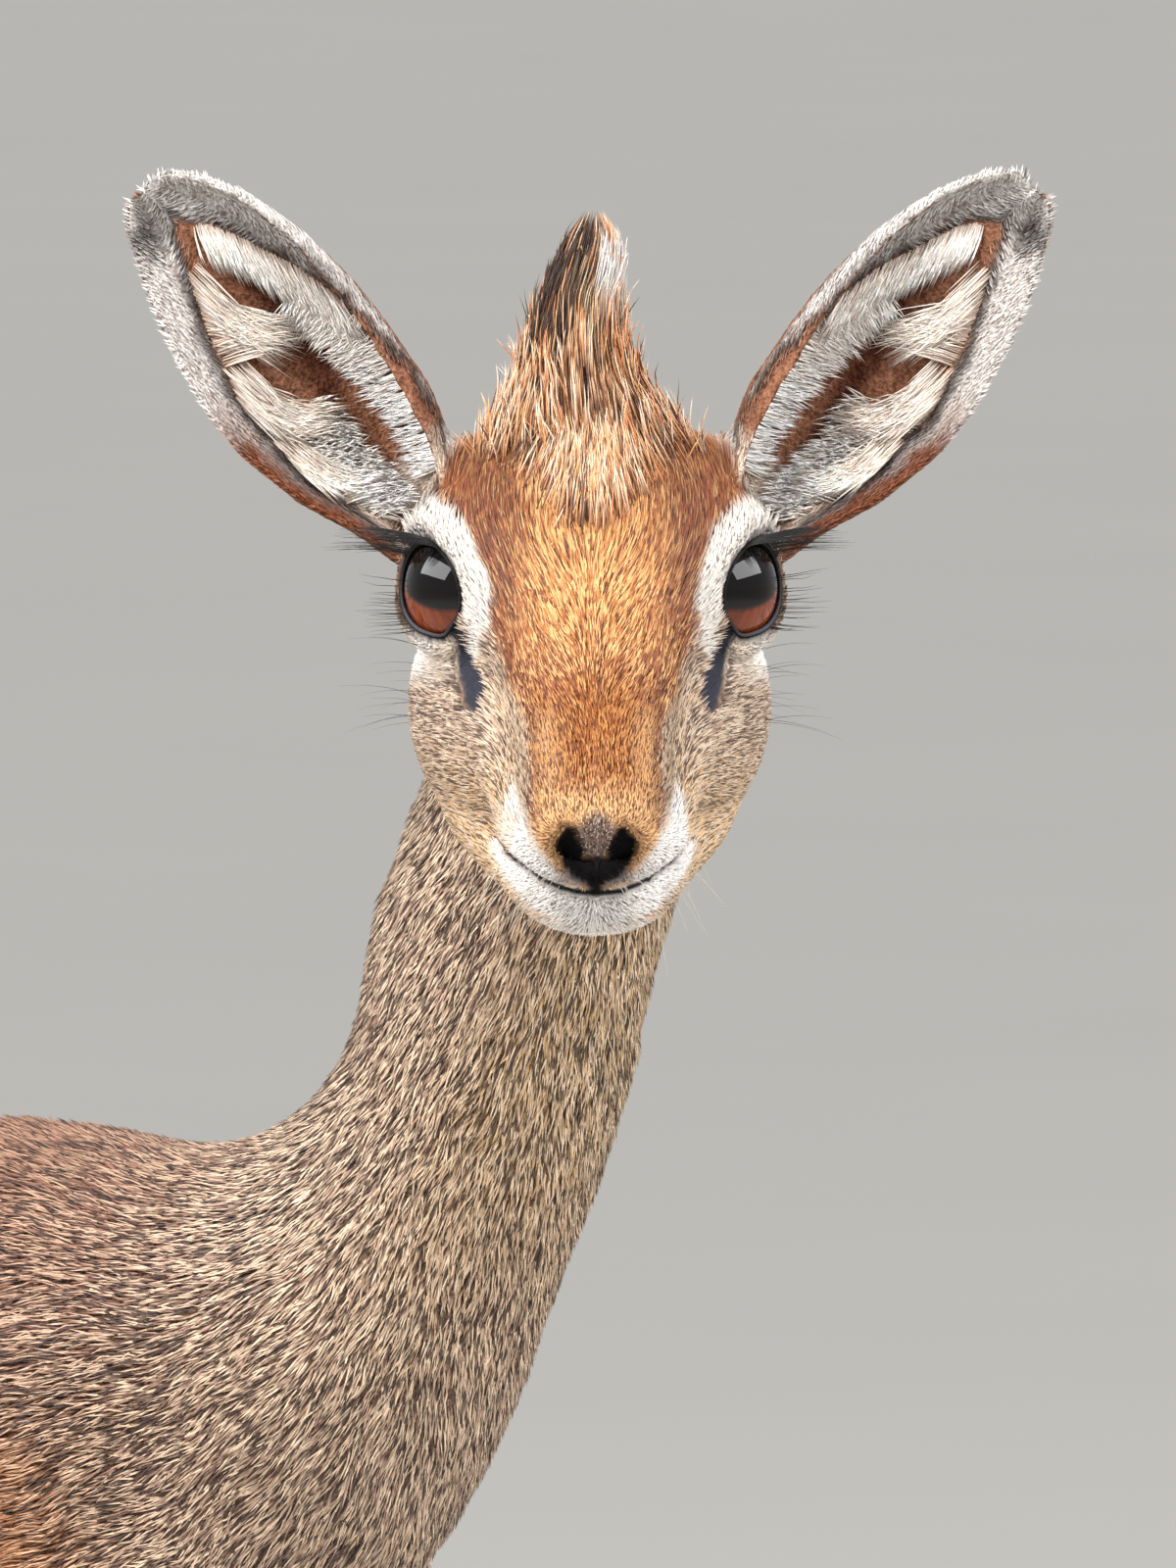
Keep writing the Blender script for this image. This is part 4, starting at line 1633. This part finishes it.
def makeHairTree():
    tree = bpy.data.node_groups.new("sweep_hairs", "GeometryNodeTree")
    face = tree.interface
    face.new_socket("Geometry", in_out="INPUT", socket_type="NodeSocketGeometry")
    for name, kind in (("Root radius", "Float"), ("Waviness", "Float"), ("Sides", "Int"), ("Seed", "Int"),
                       ("Material", "Material")):
        face.new_socket(name, in_out="INPUT", socket_type="NodeSocket" + kind)
    face.new_socket("Geometry", in_out="OUTPUT", socket_type="NodeSocketGeometry")

    def add(kind, links=(), values=(), out=0, **settings):
        # a node with its settings, plain values and links, and the output that others take
        node = tree.nodes.new(kind)
        for key, value in settings.items():
            setattr(node, key, value)
        for key, value in dict(values).items():
            node.inputs[key].default_value = value
        for key, socket in dict(links).items():
            tree.links.new(socket, node.inputs[key])
        return node.outputs[out] if len(node.outputs) else node

    given = tree.nodes.new("NodeGroupInput").outputs
    curve = add("GeometryNodeMeshToCurve", {"Mesh": given["Geometry"]})
    curve = add("GeometryNodeCurveSplineType", {"Curve": curve}, spline_type="CATMULL_ROM")
    curve = add("GeometryNodeResampleCurve", {"Curve": curve}, {"Count": hairTree["points"]})
    anyway = add("FunctionNodeRandomValue", {"Seed": given["Seed"]}, {0: (-1, -1, -1), 1: (1, 1, 1)},
                 data_type="FLOAT_VECTOR")
    shift = add("ShaderNodeVectorMath", {0: anyway, "Scale": given["Waviness"]}, operation="SCALE")
    curve = add("GeometryNodeSetPosition", {"Geometry": curve, "Offset": shift})
    along = add("GeometryNodeSplineParameter")
    thin = add("ShaderNodeMapRange", {"Value": along}, {"To Min": 1.0, "To Max": hairTree["tip"]})
    size = add("ShaderNodeMath", {0: thin, 1: given["Root radius"]}, operation="MULTIPLY")
    curve = add("GeometryNodeSetCurveRadius", {"Curve": curve, "Radius": size})
    ring = add("GeometryNodeCurvePrimitiveCircle", {"Resolution": given["Sides"]}, {"Radius": 1.0})
    sweep = {"Curve": curve, "Profile Curve": ring, "Scale": size}
    made = add("GeometryNodeCurveToMesh", sweep, {"Fill Caps": True})
    made = add("GeometryNodeSetShadeSmooth", {"Geometry": made})
    made = add("GeometryNodeRealizeInstances", {"Geometry": made})
    made = add("GeometryNodeSetMaterial", {"Geometry": made, "Material": given["Material"]})
    add("NodeGroupOutput", {"Geometry": made})
    return tree


sweepHairs = makeHairTree()


def setInput(modifier, name, value):
    for item in modifier.node_group.interface.items_tree:
        if item.item_type == "SOCKET" and item.in_out == "INPUT" and item.name == name:
            modifier[item.identifier] = value


def sweptHairs(name, paths, radius, waviness, finish):
    # one plain mesh from guide lines, each a strand of points
    count, steps = paths.shape[:2]
    guide = bpy.data.meshes.new(name + "_guide")
    edges = [(row * steps + k, row * steps + k + 1) for row in range(count) for k in range(steps - 1)]
    guide.from_pydata(paths.reshape(-1, 3).tolist(), edges, [])
    made = linked(name + "_guide", guide)
    modifier = made.modifiers.new("sweep", "NODES")
    modifier.node_group = sweepHairs
    for key, value in (("Root radius", radius), ("Waviness", waviness), ("Sides", hairTree["sides"]),
                       ("Seed", hairTree["seed"]), ("Material", finish)):
        setInput(modifier, key, value)
    mesh = plainMesh(made)
    mesh.name = name
    hairs = linked(name, mesh)
    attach(hairs, "root")
    say(f"{name}: {count} hairs")


def makeLashes(side, name):
    draw = np.random.default_rng(71 + side)
    upperTurns = np.radians(draw.uniform(88, 176, 120))
    lowerTurns = np.radians(draw.uniform(-165, -80, 22))
    paths = []
    out, inner, upper = eyeFrame(side)
    for turns, reach, drop in ((upperTurns, 8.6, 0.0), (lowerTurns, 5.0, -1.0)):
        count = len(turns)
        root = fromEye(side, turns, np.full(count, 1.03), np.full(count, 12.3))
        spread = inner * np.cos(turns)[:, None] + upper * np.sin(turns)[:, None]
        lateral = headWay(side, -0.15, 0.05)
        size = reach * draw.uniform(0.55, 1.1, count) * mm
        bend = -headUp if drop == 0 else headUp * 0.2
        steps = []
        for share in (0.0, 0.35, 0.7, 1.0):
            place = root + (out * 0.45 + spread * 0.35 + lateral * 0.75) * (size * share)[:, None]
            place = place + (lateral * 0.35 + bend * 0.28) * (size * share ** 2)[:, None]
            steps.append(place + draw.normal(0, 0.12 * mm, (count, 3)) * share)
        paths.append(np.stack(steps, axis=1))
    finish = bpy.data.materials.get("dark_lash") or hairFinish("dark_lash", (0.010, 0.008, 0.009), 0.4)
    sweptHairs(name, np.concatenate(paths), 0.085 * mm, 0.00003, finish)


def makeWhiskers():
    draw = np.random.default_rng(83)
    dark, pale = [], []
    for side in (-1, 1):
        for number in range(15):
            # fine dark feelers on the cheek below the eye, and pale ones on lips and chin
            spotX, spotUp = draw.uniform(24, 31), draw.uniform(-24, -9)
            dark.append((side, spotX, spotUp, draw.uniform(7, 15), (side, -0.1, draw.uniform(-0.1, 0.5))))
        for number in range(22):
            spotX = draw.uniform(4, 17)
            spotUp = -57 + spotX * 0.55 + draw.uniform(-2, 5)
            way = (side * draw.uniform(0.2, 0.9), draw.uniform(-0.1, 0.4), -draw.uniform(0.6, 1.0))
            pale.append((side, spotX, spotUp, draw.uniform(5, 12), way))
    for name, rows, radius, finish in (
            ("cheek_whiskers", dark, 0.05 * mm, hairFinish("dark_whisker", (0.02, 0.016, 0.015))),
            ("lip_whiskers", pale, 0.075 * mm, hairFinish("pale_whisker", (0.75, 0.70, 0.58)))):
        paths = []
        for side, spotX, spotUp, size, way in rows:
            start = fromHead((side * spotX, 0, 0)) + raised * spotUp * mm + facing * 0.12
            hit = surface.ray_cast(Vector(start), Vector(-facing), 0.2)[0]
            if hit is None:
                continue
            way = headWay(*way)
            sag = np.array((0, 0, -0.22))
            paths.append([np.array(hit) + (way * share + sag * share ** 2) * size * mm
                          - facing * 0.4 * mm * (share == 0) for share in (0, 0.35, 0.7, 1.0)])
        sweptHairs(name, np.array(paths), radius, 0.00002, finish)


makeLashes(1, "lashes_left")
makeLashes(-1, "lashes_right")
makeWhiskers()


# Hooves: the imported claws, rounded and ringed

def makeHooves():
    finish = hornFinish()
    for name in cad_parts:
        if not name.startswith("hoof"):
            continue
        made = linked(name + "_horn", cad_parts[name].data.copy())
        made.data.materials.clear()
        made.data.materials.append(finish)
        weld = made.modifiers.new("weld", "WELD")
        weld.merge_threshold = skinSizes["weld"]
        crease = made.modifiers.new("round", "SUBSURF")
        crease.levels = crease.render_levels = 2
        mesh = plainMesh(made)
        made = linked(name + "_horn", mesh)
        shadeSmooth(mesh)
        points = pointsOf(mesh)
        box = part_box(name)
        low, high = np.array(box[0]), np.array(box[1])
        own = points.min(axis=0), points.max(axis=0)
        points = low + (points - own[0]) / (own[1] - own[0]) * (high - low)
        points[:, 2] = np.where(points[:, 2] < low[2] + 0.8 * mm, low[2], points[:, 2])
        mesh.vertices.foreach_set("co", points.astype(np.float32).ravel())
        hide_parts(name)
        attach(made, "root")


makeHooves()
say("hooves")


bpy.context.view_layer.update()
say("finished")
